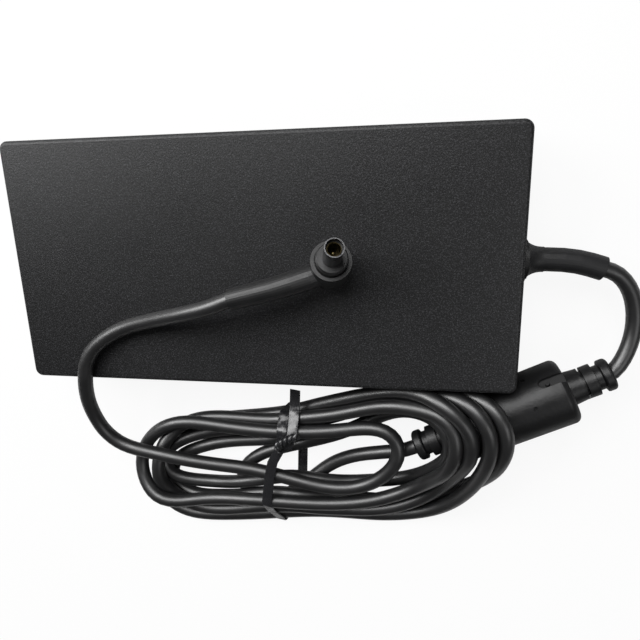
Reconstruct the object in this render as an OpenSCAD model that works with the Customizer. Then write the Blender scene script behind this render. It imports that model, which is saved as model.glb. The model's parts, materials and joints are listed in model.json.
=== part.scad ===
// Laptop power adapter: flat two-part case, mains inlet, moulded cord gland, ferrite,
// tied hank of output cord and right-angle barrel plug. Millimetres.
// The origin is the centre of the case's bottom face, +X points to the cord end and +Z up.

/* [Case] */
// Length of the case, from the inlet end to the cord end
case_l = 179; // [174:1:196]
// Width of the case
case_w = 87; // [84:1:96]
// Height of the case
case_h = 26; // [26:0.5:32]
// Thickness of the moulded walls
wall = 2.2; // [1.8:0.1:2.4]
// Radius of the four upright corners
corner_r = 3; // [2.5:0.5:5]
// Radius of the top and bottom edges
edge_r = 1.4; // [0.8:0.1:2]
// Height of the tongue along the parting line
tongue_h = 1.6; // [1:0.1:2.4]
// Thickness of the tongue
tongue_t = 0.9; // [0.6:0.1:1.2]

/* [Mains inlet] */
// Width of the inlet body
inlet_w = 28; // [27:0.5:32]
// Height of the inlet body
inlet_h = 20; // [19:0.5:21]
// Width of the socket in the inlet
socket_w = 24.6; // [24:0.1:25]
// Height of the socket in the inlet
socket_h = 16.8; // [16:0.1:17.2]
// Depth of the socket
socket_d = 16.4; // [15:0.1:18]
// Size of the two slanted corners beside the earth blade
socket_cut = 4.6; // [3:0.1:5.5]
// Thickness of the wall behind the socket
inlet_back = 3.2; // [2.4:0.1:5]
// Distance between the line and neutral blades
blade_pitch = 14; // [13.6:0.1:14.4]
// How far the earth blade stands above the other two
earth_rise = 4; // [3.6:0.1:4.4]
// Thickness of a blade
blade_t = 2; // [1.8:0.1:2.2]
// Width of a blade
blade_w = 4; // [3.6:0.1:4.2]
// Length of the solder tab behind the inlet
blade_tab = 6; // [4:0.5:7]

/* [Cord gland] */
// Radius of the flange on the outside of the case
gland_flange_r = 7.8; // [7:0.1:9]
// Thickness of that flange
gland_flange_t = 1.5; // [1:0.1:2.5]
// Radius of the step in front of the flange
gland_step_r = 6.6; // [5.6:0.1:6.9]
// Length of the flare from the step to the boot
gland_flare_l = 5.5; // [4:0.5:8]
// Radius of the boot
gland_boot_r = 4; // [3.6:0.1:4.6]
// Radius of the neck in the case wall
gland_neck_r = 5.4; // [4.8:0.1:6]
// Radius of the flange inside the case
gland_inner_r = 7.2; // [6.4:0.1:8]
// Thickness of the flange inside the case
gland_inner_t = 2; // [1.5:0.1:3]

/* [Cord] */
// Diameter of the output cord
cord_d = 5.4; // [5:0.1:5.8]
// Height of the tied hank where it lies on the table
hank_h = 15.4; // [15:0.2:18]
// Height of the hank where it crosses the ferrite
hank_top = 31; // [30:0.5:34]

/* [Ferrite] */
// Radius of the moulding around the ferrite
ferrite_r = 11.7; // [11.6:0.05:12.4]
// Length of that moulding without its strain reliefs
ferrite_l = 43; // [40:1:44]
// Radius of its rounded shoulders
ferrite_shoulder = 2.5; // [2:0.5:4]
// Length of each slotted strain relief
relief_l = 15; // [12:0.5:17]
// Radius of the strain relief at its end ring
relief_r = 5.7; // [5:0.1:6.4]
// Radius of the ferrite core
core_r = 9.2; // [9:0.1:10.2]
// Length of the ferrite core
core_l = 32; // [28:1:34]
// Radius of the hole through the core
core_bore_r = 3.4; // [3.2:0.1:4]

/* [Plug] */
// Radius of the plug's head
head_r = 6.5; // [6:0.1:7]
// Height of the head's rim above the boot's axis
head_rim_z = 7.4; // [6.8:0.1:8]
// Depth of the head below the boot's axis
head_back = 4.6; // [4.4:0.1:5.4]
// Radius of the boss inside the rim
boss_r = 5.05; // [4.6:0.05:5.1]
// Height of the boss above the rim
boss_h = 3; // [2:0.1:4]
// Width of the groove between the boss and the rim
rim_groove = 0.35; // [0.2:0.05:0.6]
// Depth of that groove below the rim
rim_groove_d = 1.2; // [0.6:0.1:2]
// Radius of the plug's barrel
barrel_r = 3; // [2.7:0.05:3.2]
// Length of the barrel in front of the boss
barrel_l = 10; // [9:0.5:11]
// Wall of the barrel
barrel_wall = 0.35; // [0.3:0.05:0.5]
// How far the inner contact lies behind the barrel's tip
contact_recess = 1.6; // [1:0.1:3]
// Outer radius of the inner contact
contact_r = 2.25; // [2.1:0.05:2.3]
// Wall of the inner contact
contact_wall = 0.3; // [0.2:0.05:0.4]
// Radius of the centre pin
pin_r = 0.5; // [0.4:0.05:0.7]
// How far the pin's end lies behind the barrel's tip
pin_recess = 5.2; // [3:0.1:6]

/* [Cable tie] */
// Width of the cable tie
tie_w = 3.4; // [2.5:0.1:5]
// Thickness of the cable tie
tie_t = 0.7; // [0.4:0.1:1.2]

/* [Circuit board] */
// Thickness of the circuit board
board_t = 1.6; // [1.2:0.1:2]
// Space under the board, above the insulating sheet
board_gap = 1.8; // [1.5:0.1:2.5]
// Gap between the board and the case's side walls
board_margin = 2.4; // [1.8:0.1:3.5]
// Thickness of the metal heat spreaders
shield_t = 0.5; // [0.4:0.1:0.8]
// Thickness of the insulating sheet
sheet_t = 0.4; // [0.3:0.1:0.6]
// Height of the two heatsink plates above the board
sink_h = 13.8; // [13:0.1:15]
// Thickness of the heatsink plates
sink_t = 2; // [1.5:0.1:3]
// Height of the transformer core
core_h = 14; // [12:0.2:15]
// Diameter of a bulk capacitor
bulk_d = 14; // [12:0.5:14.5]
// Length of a bulk capacitor
bulk_l = 34; // [28:1:36]
// Diameter of an output capacitor
out_cap_d = 8; // [6.3:0.1:8.4]
// Height of an output capacitor
out_cap_h = 12.5; // [9:0.5:14]

/* [Hidden] */
$fn = 64;
fit = 0.1;            // clearance between pieces that seat on each other
slide = 0.3;          // clearance between pieces that only lie beside each other
skin = 0.02;          // clearance of a pressed or glued joint
end_x = case_l / 2;   // outer face of the cord end
side_y = case_w / 2;  // outer face of the sides
split_z = case_h / 2; // parting line of the two covers
axis_z = case_h / 2;  // height of the inlet's and the gland's axis
cavity_r = max(0.6, corner_r - wall);
floor_z = wall;
ceiling_z = case_h - wall;
rib_t = 1.6;
cord_r = cord_d / 2;

// Points of a rounded rectangle, for extruding
function arc(cx, cy, r, a0, a1, n = 8) =
    [for (i = [0:n]) let (a = a0 + (a1 - a0) * i / n) [cx + r * cos(a), cy + r * sin(a)]];
function rounded_rect(l, w, r) = concat(
    arc(l / 2 - r, w / 2 - r, r, 0, 90), arc(r - l / 2, w / 2 - r, r, 90, 180),
    arc(r - l / 2, r - w / 2, r, 180, 270), arc(l / 2 - r, r - w / 2, r, 270, 360));

// A tube swept along points: ref is a direction that the path never runs along, and
// from and to are the directions that its two end faces look square across
function unit(v) = v / norm(v);
function heading(p, i, from, to) =
    i == 0 && is_list(from) ? unit(from) :
    i == len(p) - 1 && is_list(to) ? unit(to) :
    unit(p[min(i + 1, len(p) - 1)] - p[max(i - 1, 0)]);
function ring(p, i, t, r, ref, n) = let (
    s = unit(cross(ref, t)),
    u = cross(t, s)
) [for (k = [0:n - 1]) p[i] + r * (cos(360 * k / n) * s + sin(360 * k / n) * u)];
function radius_at(r, i) = is_list(r) ? r[i] : r;
function last(list) = list[len(list) - 1];

module tube(p, r, from, to, ref = [0, 0, 1], n = 10) {
    rings = len(p);
    points = [for (i = [0:rings - 1]) each ring(p, i, heading(p, i, from, to), radius_at(r, i), ref, n)];
    sides = [for (i = [0:rings - 2], k = [0:n - 1], half = [0, 1]) let (
        a = i * n + k,
        b = i * n + (k + 1) % n
    ) half == 0 ? [a, a + n, b] : [b, a + n, b + n]];
    start_face = [for (k = [0:n - 1]) k];
    end_face = [for (k = [n - 1:-1:0]) (rings - 1) * n + k];
    polyhedron(points = points, faces = concat([start_face], sides, [end_face]), convexity = 8);
}

// A box between two corners
module box(a, b) {
    translate(a) cube(b - a);
}

// Turns a shape that was revolved about Z so that its axis lies along X
module along_x() {
    rotate([0, 90, 0]) children();
}

// ---- Case ----------------------------------------------------------------------------

// Upright corner of half the case, z = 0 at the parting line and h at the outer face
module corner_post(h) {
    rotate_extrude($fn = 48)
        polygon(concat([[0, 0], [corner_r, 0]],
                       arc(corner_r - edge_r, h - edge_r, edge_r, 0, 90, 5), [[0, h]]));
}

module half_block(h) {
    hull() {
        for (x = [-1, 1], y = [-1, 1]) {
            translate([x * (end_x - corner_r), y * (side_y - corner_r), 0]) corner_post(h);
        }
    }
}

module prism(l, w, r, z0, z1) {
    translate([0, 0, z0]) linear_extrude(z1 - z0) polygon(rounded_rect(l, w, r));
}

inner_l = case_l - 2 * wall;
inner_w = case_w - 2 * wall;

// Opening in the end walls for the inlet and the gland
module end_openings() {
    box([-end_x - 1, -inlet_w / 2 - fit, axis_z - inlet_h / 2 - fit],
        [-end_x + wall + 1, inlet_w / 2 + fit, axis_z + inlet_h / 2 + fit]);
    box([-end_x + wall, -inlet_flange_w / 2 - fit, axis_z - inlet_h / 2 - fit],
        [-end_x + inlet_d + fit, inlet_flange_w / 2 + fit, axis_z + inlet_h / 2 + fit]);
    translate([end_x - wall - 1, 0, axis_z]) along_x() cylinder(r = gland_neck_r + fit, h = wall + 2);
}

// Ribs that hold the inlet's flange and the gland, between two heights
inlet_flange_t = 1.6;
inlet_flange_w = inlet_w + 6.4;
saddle_x = end_x - wall - gland_inner_t - fit - rib_t;
module end_ribs(z0, z1) {
    rib_x = -end_x + wall + inlet_flange_t + fit;
    for (side = [-1, 1]) {
        y = side * (inlet_w / 2 + fit + 3);
        box([rib_x, y - 3, z0], [rib_x + rib_t, y + 3, z1]);
    }
    difference() {
        box([saddle_x, -gland_inner_r - 2, z0], [saddle_x + rib_t, gland_inner_r + 2, z1]);
        translate([saddle_x - 1, 0, axis_z]) along_x() cylinder(r = tail_r + fit, h = rib_t + 2);
    }
}

module top_cover() color("#37383b") {
    difference() {
        translate([0, 0, split_z]) half_block(case_h - split_z);
        prism(inner_l, inner_w, cavity_r, split_z - 1, ceiling_z);
        prism(inner_l + 2 * (tongue_t + fit), inner_w + 2 * (tongue_t + fit), cavity_r + tongue_t,
              split_z - 1, split_z + tongue_h + fit);
        end_openings();
    }
    end_ribs(split_z + fit, ceiling_z + 0.5);
}

// Posts that carry the board, with a pin through it
post_r = 2.6;
post_pin_r = 1.2;
post_hole_r = post_pin_r + 0.3;
post_inset = 4.5;
module at_posts() {
    for (x = [board_x0 + post_inset, board_x1 - post_inset], y = [-1, 1]) {
        translate([x, y * (board_w / 2 - post_inset), 0]) children();
    }
}

module bottom_cover() color("#333437") {
    difference() {
        union() {
            translate([0, 0, split_z]) mirror([0, 0, 1]) half_block(split_z);
            prism(inner_l + 2 * tongue_t, inner_w + 2 * tongue_t, cavity_r + tongue_t,
                  split_z - 1, split_z + tongue_h);
        }
        prism(inner_l, inner_w, cavity_r, floor_z, case_h);
        end_openings();
    }
    end_ribs(floor_z - 0.5, split_z);
    at_posts() {
        translate([0, 0, floor_z - 0.5]) cylinder(r = post_r, h = board_z - floor_z + 0.5);
        translate([0, 0, floor_z]) cylinder(r = post_pin_r, h = board_z + board_t + 1 - floor_z);
    }
}

// ---- Mains inlet ---------------------------------------------------------------------

inlet_d = socket_d + inlet_back;
low_blade_z = axis_z - earth_rise / 2;
tab_x = -end_x + inlet_d + blade_tab;
blade_tip = 3;   // how far the blade ends lie behind the inlet's face

module socket_outline(grow = 0) {
    w = socket_w / 2 + grow;
    h = socket_h / 2 + grow;
    polygon([[-w, -h], [w, -h], [w, h - socket_cut], [w - socket_cut, h],
             [socket_cut - w, h], [-w, h - socket_cut]]);
}

// Maps a flat outline in Y and Z to a prism along X
module prism_x(x0, x1) {
    translate([x0, 0, 0]) rotate([90, 0, 90]) linear_extrude(x1 - x0) children();
}

module blade_at(y, z, grow = 0) {
    box([-end_x + blade_tip - grow, y - blade_t / 2 - grow, z - blade_w / 2 - grow],
        [tab_x + grow, y + blade_t / 2 + grow, z + blade_w / 2 + grow]);
}

module blade(y, z) {
    tip = 0.6;
    bevel_x = -end_x + blade_tip;
    color("#d8d3c4") {
        intersection() {
            blade_at(y, z);
            prism_y(y) polygon([[bevel_x, z - blade_w / 2 + tip], [bevel_x + 2 * tip, z - blade_w / 2],
                                [tab_x, z - blade_w / 2], [tab_x, z + blade_w / 2],
                                [bevel_x + 2 * tip, z + blade_w / 2],
                                [bevel_x, z + blade_w / 2 - tip]]);
        }
    }
}

// A flat outline in X and Z, extruded across a blade at y
module prism_y(y) {
    translate([0, y + blade_t, 0]) rotate([90, 0, 0]) linear_extrude(2 * blade_t) children();
}

module inlet_housing() color("#1d1e20") {
    flange_x = -end_x + wall;
    difference() {
        union() {
            box([-end_x, -inlet_w / 2, axis_z - inlet_h / 2],
                [-end_x + inlet_d, inlet_w / 2, axis_z + inlet_h / 2]);
            box([flange_x + skin, -inlet_flange_w / 2, axis_z - inlet_h / 2],
                [flange_x + inlet_flange_t, inlet_flange_w / 2, axis_z + inlet_h / 2]);
        }
        translate([0, 0, axis_z]) prism_x(-end_x - 1, -end_x + socket_d) socket_outline();
        blade_at(-blade_pitch / 2, low_blade_z, skin);
        blade_at(blade_pitch / 2, low_blade_z, skin);
        blade_at(0, low_blade_z + earth_rise, skin);
    }
}

module inlet_line_blade() {
    blade(-blade_pitch / 2, low_blade_z);
}

module inlet_neutral_blade() {
    blade(blade_pitch / 2, low_blade_z);
}

module inlet_earth_blade() {
    blade(0, low_blade_z + earth_rise);
}

// Short wires from the three tabs down to the board
wire_r = 1;
module inlet_wires() color("#b8452c") {
    land_x = board_x0 + 5;
    for (wire = [[-blade_pitch / 2, low_blade_z], [blade_pitch / 2, low_blade_z],
                 [0, low_blade_z + earth_rise]]) {
        y = wire[0];
        z = wire[1];
        tube([[tab_x, y, z], [tab_x + 1.8, y, z + 0.1], [(tab_x + land_x) / 2 + 1, y, z - 0.7],
              [land_x - 0.4, y, z - 2.4], [land_x, y, (z + board_top) / 2 - 0.5],
              [land_x, y, board_top]], wire_r, [1, 0, 0], [0, 0, -1], [0, 1, 0], 8);
    }
}

// ---- Cord gland ----------------------------------------------------------------------

tail_r = gland_boot_r;
tail_x = saddle_x - 2.4;
flare_x = end_x + gland_flange_t + 0.8;
flare_end_x = flare_x + gland_flare_l;
neck_end_r = gland_boot_r + 0.2;
flare_r = gland_step_r - 0.5;
// Centre line of the bent boot, measured from the end face of the case
boot_line = [[5, 0, 0], [9, 0, 0], [14, -0.2, 0], [18.5, -0.8, 0], [22.6, -1.8, 0], [26.7, -3.1, 0]];

module cord_gland() color("#242528") {
    translate([0, 0, axis_z]) along_x() rotate_extrude() polygon(concat(
        [[0, tail_x], [tail_r, tail_x], [tail_r, end_x - wall - gland_inner_t],
         [gland_inner_r, end_x - wall - gland_inner_t], [gland_inner_r, end_x - wall],
         [gland_neck_r, end_x - wall], [gland_neck_r, end_x], [gland_flange_r, end_x],
         [gland_flange_r, end_x + gland_flange_t], [gland_step_r, end_x + gland_flange_t],
         [gland_step_r, flare_x]],
        [for (i = [0:8]) let (k = i / 8)
            [neck_end_r + (flare_r - neck_end_r) * pow(1 - k, 2.4), flare_x + gland_flare_l * k]],
        [[0, flare_end_x]]));
    translate([end_x, 0, axis_z]) tube(boot_line, gland_boot_r, n = 32);
}

// ---- Ferrite -------------------------------------------------------------------------

ferrite_centre = [89.9, -55.5];
ferrite_turn = 26;
ferrite_dir = [cos(ferrite_turn), sin(ferrite_turn), 0];
function relief_end(side) = [ferrite_centre[0], ferrite_centre[1], ferrite_r]
    + side * (ferrite_l / 2 + relief_l) * ferrite_dir;

module place_ferrite() {
    translate([ferrite_centre[0], ferrite_centre[1], ferrite_r]) rotate([0, 0, ferrite_turn]) children();
}

// Half profile of the moulding, from its middle to the end ring of a strain relief
relief_base = relief_r + 0.45;      // radius at the moulding's end face
relief_waist = cord_r + 1.7;        // radius of the waist behind the end ring
function ferrite_profile() = let (
    h = ferrite_l / 2,
    s = ferrite_shoulder,
    e = h + relief_l
) concat([[0, 0], [ferrite_r, 0]],
         arc(ferrite_r - s, h - s, s, 0, 90, 6),
         [[relief_base, h], [relief_r, h + relief_l * 0.28], [relief_r, h + relief_l * 0.62],
          [relief_waist, h + relief_l * 0.64], [relief_waist, h + relief_l * 0.76]],
         arc(relief_r - 0.5, h + relief_l * 0.78 + 0.5, 0.5, -90, 0, 2),
         arc(relief_r - 1.2, e - 1.2, 1.2, 0, 90, 4),
         [[0, e]]);

// Slot half way along a strain relief, cut from above so that it leaves a web below
relief_slot = 0.9;
relief_web = 130;
module relief_slots() {
    for (side = [0, 1]) {
        mirror([side, 0, 0]) translate([ferrite_l / 2 + relief_l * 0.33, 0, 0]) along_x() {
            rotate([0, 0, 5]) rotate_extrude(angle = 360 - relief_web) {
                translate([relief_waist, 0]) square([relief_r, relief_slot]);
            }
        }
    }
}

module ferrite_cover() color("#26272a") {
    place_ferrite() {
        difference() {
            union() {
                along_x() rotate_extrude() polygon(ferrite_profile());
                mirror([1, 0, 0]) along_x() rotate_extrude() polygon(ferrite_profile());
            }
            along_x() translate([0, 0, -core_l / 2 - fit]) cylinder(r = core_r + fit, h = core_l + 2 * fit);
            along_x() translate([0, 0, -ferrite_l]) cylinder(r = cord_r + fit, h = 2 * ferrite_l);
            relief_slots();
            ferrite_marks();
        }
    }
}

// Moulding marks: a gate recess that runs out at the end of the moulding and two pin holes
gate_turn = -48;
gate_l = 9;
gate_w = 3.6;
gate_d = 1.8;
pin_hole_x = 8.6;
module ferrite_marks() {
    rotate([gate_turn, 0, 0]) translate([ferrite_l / 2 - gate_l + gate_w / 2, 0, ferrite_r - gate_d]) {
        difference() {
            union() {
                cylinder(r = gate_w / 2, h = 5, $fn = 32);
                translate([0, -gate_w / 2, 0]) cube([gate_l, gate_w, 5]);
            }
            translate([1.2, -0.3, -1]) cylinder(r1 = 1.1, r2 = 0.6, h = 2, $fn = 24);
        }
    }
    for (turn = [-13, -67]) {
        rotate([turn, 0, 0]) translate([pin_hole_x, 0, ferrite_r - 1.2]) {
            cylinder(r = 0.75, h = 5, $fn = 24);
        }
    }
}

// Space that the hank leaves free for the ferrite and its strain relief
module ferrite_room() {
    along_x() translate([0, 0, -ferrite_l / 2 - slide]) {
        cylinder(r = ferrite_r + slide, h = ferrite_l + 2 * slide);
    }
    along_x() translate([0, 0, -ferrite_l / 2 - relief_l - slide]) {
        cylinder(r = relief_base + slide, h = relief_l + 2 * slide);
    }
    translate([-ferrite_l / 2 - slide, -ferrite_r - slide, -ferrite_r - 1]) {
        cube([ferrite_l + 2 * slide, 2 * (ferrite_r + slide), ferrite_r + 1]);
    }
}

module ferrite_core() color("#3a3a3c") {
    place_ferrite() along_x() rotate_extrude() polygon([
        [core_bore_r, -core_l / 2], [core_r - 0.8, -core_l / 2], [core_r, -core_l / 2 + 0.8],
        [core_r, core_l / 2 - 0.8], [core_r - 0.8, core_l / 2], [core_bore_r, core_l / 2]]);
}

// ---- Plug ----------------------------------------------------------------------------

// The plug lies on the case, leaning on the edge of its head
plug_x = 28.45;
plug_y = 0.25;
plug_turn = 16;   // direction of the boot in plan
plug_dip = 20;    // how far the head dips towards its end
plug_roll = 20;   // how far the head rolls sideways
plug_lean = acos(cos(plug_dip) * cos(plug_roll));
head_edge = 1.2;  // radius of the edge that the head rests on
plug_z = case_h + (head_back - head_edge) * cos(plug_lean) + (head_r - head_edge) * sin(plug_lean)
    + head_edge;
boss_z = head_rim_z + boss_h;
tip_z = boss_z + barrel_l;
barrel_seat = 2.4;
barrel_step = 0.1;   // how far the full-width sleeve starts in front of the boss
barrel_root_r = barrel_r - barrel_wall / 2;
// Centre line of the boot from inside the head to the cord, and its radii
boot_points = [[-2, -1.2, 0.9], [-6.5, -2.9, 2.6], [-12, -4.5, 4.2], [-18, -6.2, 5.4],
               [-25, -7.9, 6], [-32, -9.6, 6.1]];
boot_radii = [4.1, 4.1, 3.95, 3.8, 3.7, 3.6];

module place_plug() {
    translate([plug_x, plug_y, plug_z])
        rotate([0, 0, plug_turn]) rotate([0, plug_dip, 0]) rotate([-plug_roll, 0, 0]) children();
}

module plug_boot() color("#2a2b2e") {
    difference() {
        union() {
            place_plug() rotate_extrude() polygon(concat(
                [[0, -head_back], [head_r - head_edge, -head_back]],
                arc(head_r - head_edge, head_edge - head_back, head_edge, -90, 0, 4),
                [[head_r, head_rim_z], [boss_r + rim_groove, head_rim_z],
                 [boss_r + rim_groove, head_rim_z - rim_groove_d],
                 [boss_r, head_rim_z - rim_groove_d], [boss_r, boss_z - 0.4],
                 [boss_r - 0.4, boss_z], [0, boss_z]]));
            translate([plug_x, plug_y, plug_z]) tube(boot_points, boot_radii, n = 32);
        }
        place_plug() translate([0, 0, boss_z - barrel_seat]) {
            cylinder(r = barrel_root_r + skin, h = barrel_seat + 1);
        }
    }
}

module plug_barrel() color("#55565a") {
    place_plug() translate([0, 0, boss_z - barrel_seat]) difference() {
        union() {
            cylinder(r = barrel_root_r, h = barrel_l + barrel_seat - 1);
            translate([0, 0, barrel_seat + barrel_step]) cylinder(r = barrel_r, h = barrel_l - barrel_step);
        }
        translate([0, 0, -1]) cylinder(r = barrel_r - barrel_wall, h = barrel_l + barrel_seat + 2);
    }
}

module plug_insulator() color("#17171a") {
    seat_z = boss_z - barrel_seat;
    contact_top = tip_z - contact_recess;
    place_plug() difference() {
        translate([0, 0, seat_z]) {
            cylinder(r = barrel_r - barrel_wall - skin, h = contact_top - 0.3 - seat_z);
        }
        translate([0, 0, boss_z + 1]) cylinder(r = contact_r + skin, h = barrel_l);
        translate([0, 0, seat_z - 1]) cylinder(r = pin_r + skin, h = barrel_l);
    }
}

module plug_contact() color("#d9c27a") {
    contact_top = tip_z - contact_recess;
    place_plug() translate([0, 0, boss_z + 1]) difference() {
        cylinder(r = contact_r, h = contact_top - boss_z - 1);
        translate([0, 0, 0.8]) cylinder(r = contact_r - contact_wall, h = barrel_l);
        translate([0, 0, -1]) cylinder(r = pin_r + 0.3, h = barrel_l);
    }
}

module plug_centre_pin() color("#e0b64a") {
    pin_l = barrel_seat + barrel_l - pin_recess;
    place_plug() translate([0, 0, boss_z - barrel_seat]) rotate_extrude() polygon(concat(
        [[0, 0], [pin_r, 0]], arc(0, pin_l - pin_r, pin_r, 0, 90, 4)));
}

// ---- Cord ----------------------------------------------------------------------------

// Routes of the cord, point by point. Heights over the case are measured from its top.
gland_run_points = [[120.1, -4.2, 12.7], [123.9, -7.4, 12], [126.7, -12.1, 11], [128.4, -17.8, 10.2],
                    [129, -23.8, 9.8], [128.7, -29.6, 10.1], [127.4, -34.2, 10.8],
                    [125.3, -37.5, 11.4]];
ferrite_run_points = [[51.6, -74.2, 10.8], [46, -75.8, 9.4], [40, -78, 7.9], [34.5, -81, 6.6],
                      [29.6, -84.4, 5.4]];
plug_run_points = [[-12.5, -11.9, 12.9], [-20.5, -14.2, 11.4], [-28.2, -16.8, 9.2], [-36, -19.9, 6.9],
                   [-43.5, -23.5, 4.6], [-50.5, -27.8, 3.1], [-56.6, -32.6, 2.8],
                   [-61.2, -38, 2.8], [-64.2, -43.8, 2.6], [-65.8, -50, 1.2], [-66.3, -56.5, -1.2],
                   [-65.4, -63, -4.2], [-62.8, -69, -7.2], [-58.6, -74.2, -9.6], [-53.6, -77.6, -11]];
gland_exit = [end_x, 0, axis_z] + last(boot_line);
gland_exit_dir = last(boot_line) - boot_line[len(boot_line) - 2];
plug_exit = [plug_x, plug_y, plug_z] + last(boot_points);
plug_exit_dir = last(boot_points) - boot_points[len(boot_points) - 2];
ferrite_run = concat([relief_end(-1)], ferrite_run_points);
plug_run = concat([plug_exit], [for (p = plug_run_points) p + [0, 0, case_h]]);

module cord_gland_run() color("#1b1b1d") {
    tube(concat([gland_exit], gland_run_points, [relief_end(1)]), cord_r, gland_exit_dir, -ferrite_dir);
}

module cord_ferrite_run() color("#1b1b1d") {
    tube(ferrite_run, cord_r, -ferrite_dir);
}

module cord_plug_run() color("#1b1b1d") {
    tube(plug_run, cord_r, plug_exit_dir);
}

// The cord inside the ferrite, from one strain relief to the other
module cord_core_run() color("#1b1b1d") {
    half = ferrite_l / 2 + relief_l;
    place_ferrite() along_x() translate([0, 0, -half]) cylinder(r = cord_r, h = 2 * half);
}

// Round ends of the tied hank and of the window that its turns leave open, each with its
// centre and radius
hank_ends = [[-36.5, -90.5, 25.5], [54, -84, 26], [65, -72, 25.5]];
window_ends = [[54, -72, 10], [26, -75.5, 9]];

module round_ends(ends, inset) {
    hull() {
        for (e = ends) {
            translate([e[0], e[1]]) circle(r = e[2] - inset, $fn = 40);
        }
    }
}

// The hank lies on the table and rises over the ferrite at its cord end
hank_edge = 3;
hank_rise = [[12, -100], [112, -40]];    // region where the upper strands begin to rise
hank_high = [[68, -80], [91, -49]];
module plan(region) {
    translate(region[0]) square(region[1] - region[0]);
}

module hank_body() {
    hull() {
        translate([0, 0, hank_edge]) linear_extrude(hank_h - 2 * hank_edge) round_ends(hank_ends, 0);
        linear_extrude(hank_h) round_ends(hank_ends, hank_edge);
    }
    hull() {
        linear_extrude(hank_h - hank_edge) intersection() {
            round_ends(hank_ends, hank_edge / 2);
            plan(hank_rise);
        }
        translate([0, 0, hank_h]) linear_extrude(hank_top - hank_h) intersection() {
            round_ends(hank_ends, hank_edge);
            plan(hank_high);
        }
    }
}

module cord_hank() color("#202124") {
    difference() {
        hank_body();
        translate([0, 0, -1]) linear_extrude(hank_top + 2) round_ends(window_ends, 0);
        place_ferrite() ferrite_room();
        tube(ferrite_run, cord_r + fit, -ferrite_dir);
        tube(plug_run, cord_r + fit, plug_exit_dir);
        tie_groove();
    }
}

// ---- Cable tie -----------------------------------------------------------------------

tie_at = [5, -82];                // where the tie crosses the hank, and its turn in plan
tie_turn = -9;
tie_top = hank_h - 0.4;           // inside height of the tie over the upper bundle
tie_low_top = tie_top - 3.7;      // inside height at the far side of the lower bundle
tie_near = 22;                    // sides of the bundles, and where the tie starts to slope
tie_slope = 9;
tie_far = -30.8;
tie_tail = 7;                     // free end beyond the bundle
tie_knot_r = 1.4;
tie_knot_h = 2.6;

module place_tie() {
    translate([tie_at[0], tie_at[1], 0]) rotate([0, 0, tie_turn]) children();
}

// Section of the bundles that the tie goes around
module tie_section(grow) {
    polygon([[tie_far - grow, tie_t - grow], [tie_near + grow, tie_t - grow],
             [tie_near + grow, tie_top + grow], [tie_slope - grow, tie_top + grow],
             [tie_far - grow, tie_low_top + grow]]);
}

// Waist that the tie draws into the hank
module tie_groove() {
    w = tie_w + 2 * fit;
    place_tie() prism_x(-w / 2, w / 2) difference() {
        translate([2 * tie_far, -1]) square([3 * tie_near - 2 * tie_far, hank_top]);
        tie_section(-fit);
    }
}

module cable_tie() color("#141416") {
    place_tie() {
        prism_x(-tie_w / 2, tie_w / 2) difference() {
            tie_section(tie_t);
            tie_section(0);
        }
        translate([0, tie_slope + 1.5, tie_top + tie_t / 2]) cylinder(r = tie_knot_r, h = tie_knot_h);
        box([-tie_w / 2, tie_near - 2, tie_top], [tie_w / 2, tie_near + tie_tail, tie_top + tie_t]);
    }
}

// ---- Circuit board and what it carries -----------------------------------------------

board_x0 = tab_x + 1.2;
board_x1 = tail_x - 1.6;
board_w = inner_w - 2 * board_margin;
sheet_z = floor_z + shield_t;
board_z = sheet_z + sheet_t + board_gap;
board_top = board_z + board_t;
upper_shield_z = ceiling_z - shield_t;
sink_top = board_top + sink_h;

module main_board() color("#1f6b3a") {
    difference() {
        box([board_x0, -board_w / 2, board_z], [board_x1, board_w / 2, board_top]);
        at_posts() translate([0, 0, board_z - 1]) cylinder(r = post_hole_r, h = board_t + 2);
    }
}

module shield_plate(z, t, holes) {
    difference() {
        box([board_x0, -board_w / 2, z], [board_x1, board_w / 2, z + t]);
        if (holes) {
            at_posts() translate([0, 0, z - 1]) cylinder(r = post_r + slide, h = t + 2);
        }
    }
}

module lower_shield() color("#b9bcc0") {
    shield_plate(floor_z, shield_t, true);
}

module insulation_sheet() color("#e8e2c8") {
    shield_plate(sheet_z, sheet_t, true);
}

module upper_shield() color("#b9bcc0") {
    shield_plate(upper_shield_z, shield_t, false);
}

// Sizes of what the board carries: length along the board, width and height
x_cap_l = 12;
x_cap_h = 13;
bridge_size = [4.2, 13];         // thickness and height
boost_l = 24;
boost_h = 14;
transformer_l = 32;
limb_t = 4;
coil_wall = 2.2;
choke_r = 9.5;
choke_bore_r = 4.6;
choke_h = 8.4;
coil_t = 1.4;
choke_d = 2 * (choke_r + coil_t);
fuse_r = 2.6;
fuse_l = 20;
fuse_cap_l = 5;
varistor_r = 6.6;
varistor_t = 4.4;
y_cap_r = 4;
y_cap_t = 3;
resonant_size = [16, 8, 12];
control_size = [26, 1.2, 13];
chip_size = [5, 1.4, 4];
opto_size = [5, 6.4, 3.8];
opto_pitch = 8;
out_cap_pitch = out_cap_d + 0.8;
secondary_l = 34;
foot_w = 5;
foot_t = 1.2;
pack_size = [10.2, 4.4, 14];     // width, thickness and height of a power package
pack_pitch = pack_size[0] + 0.6;
screw_r = 1.4;
screw_head_r = 2.4;
screw_head_t = 1.4;

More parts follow.
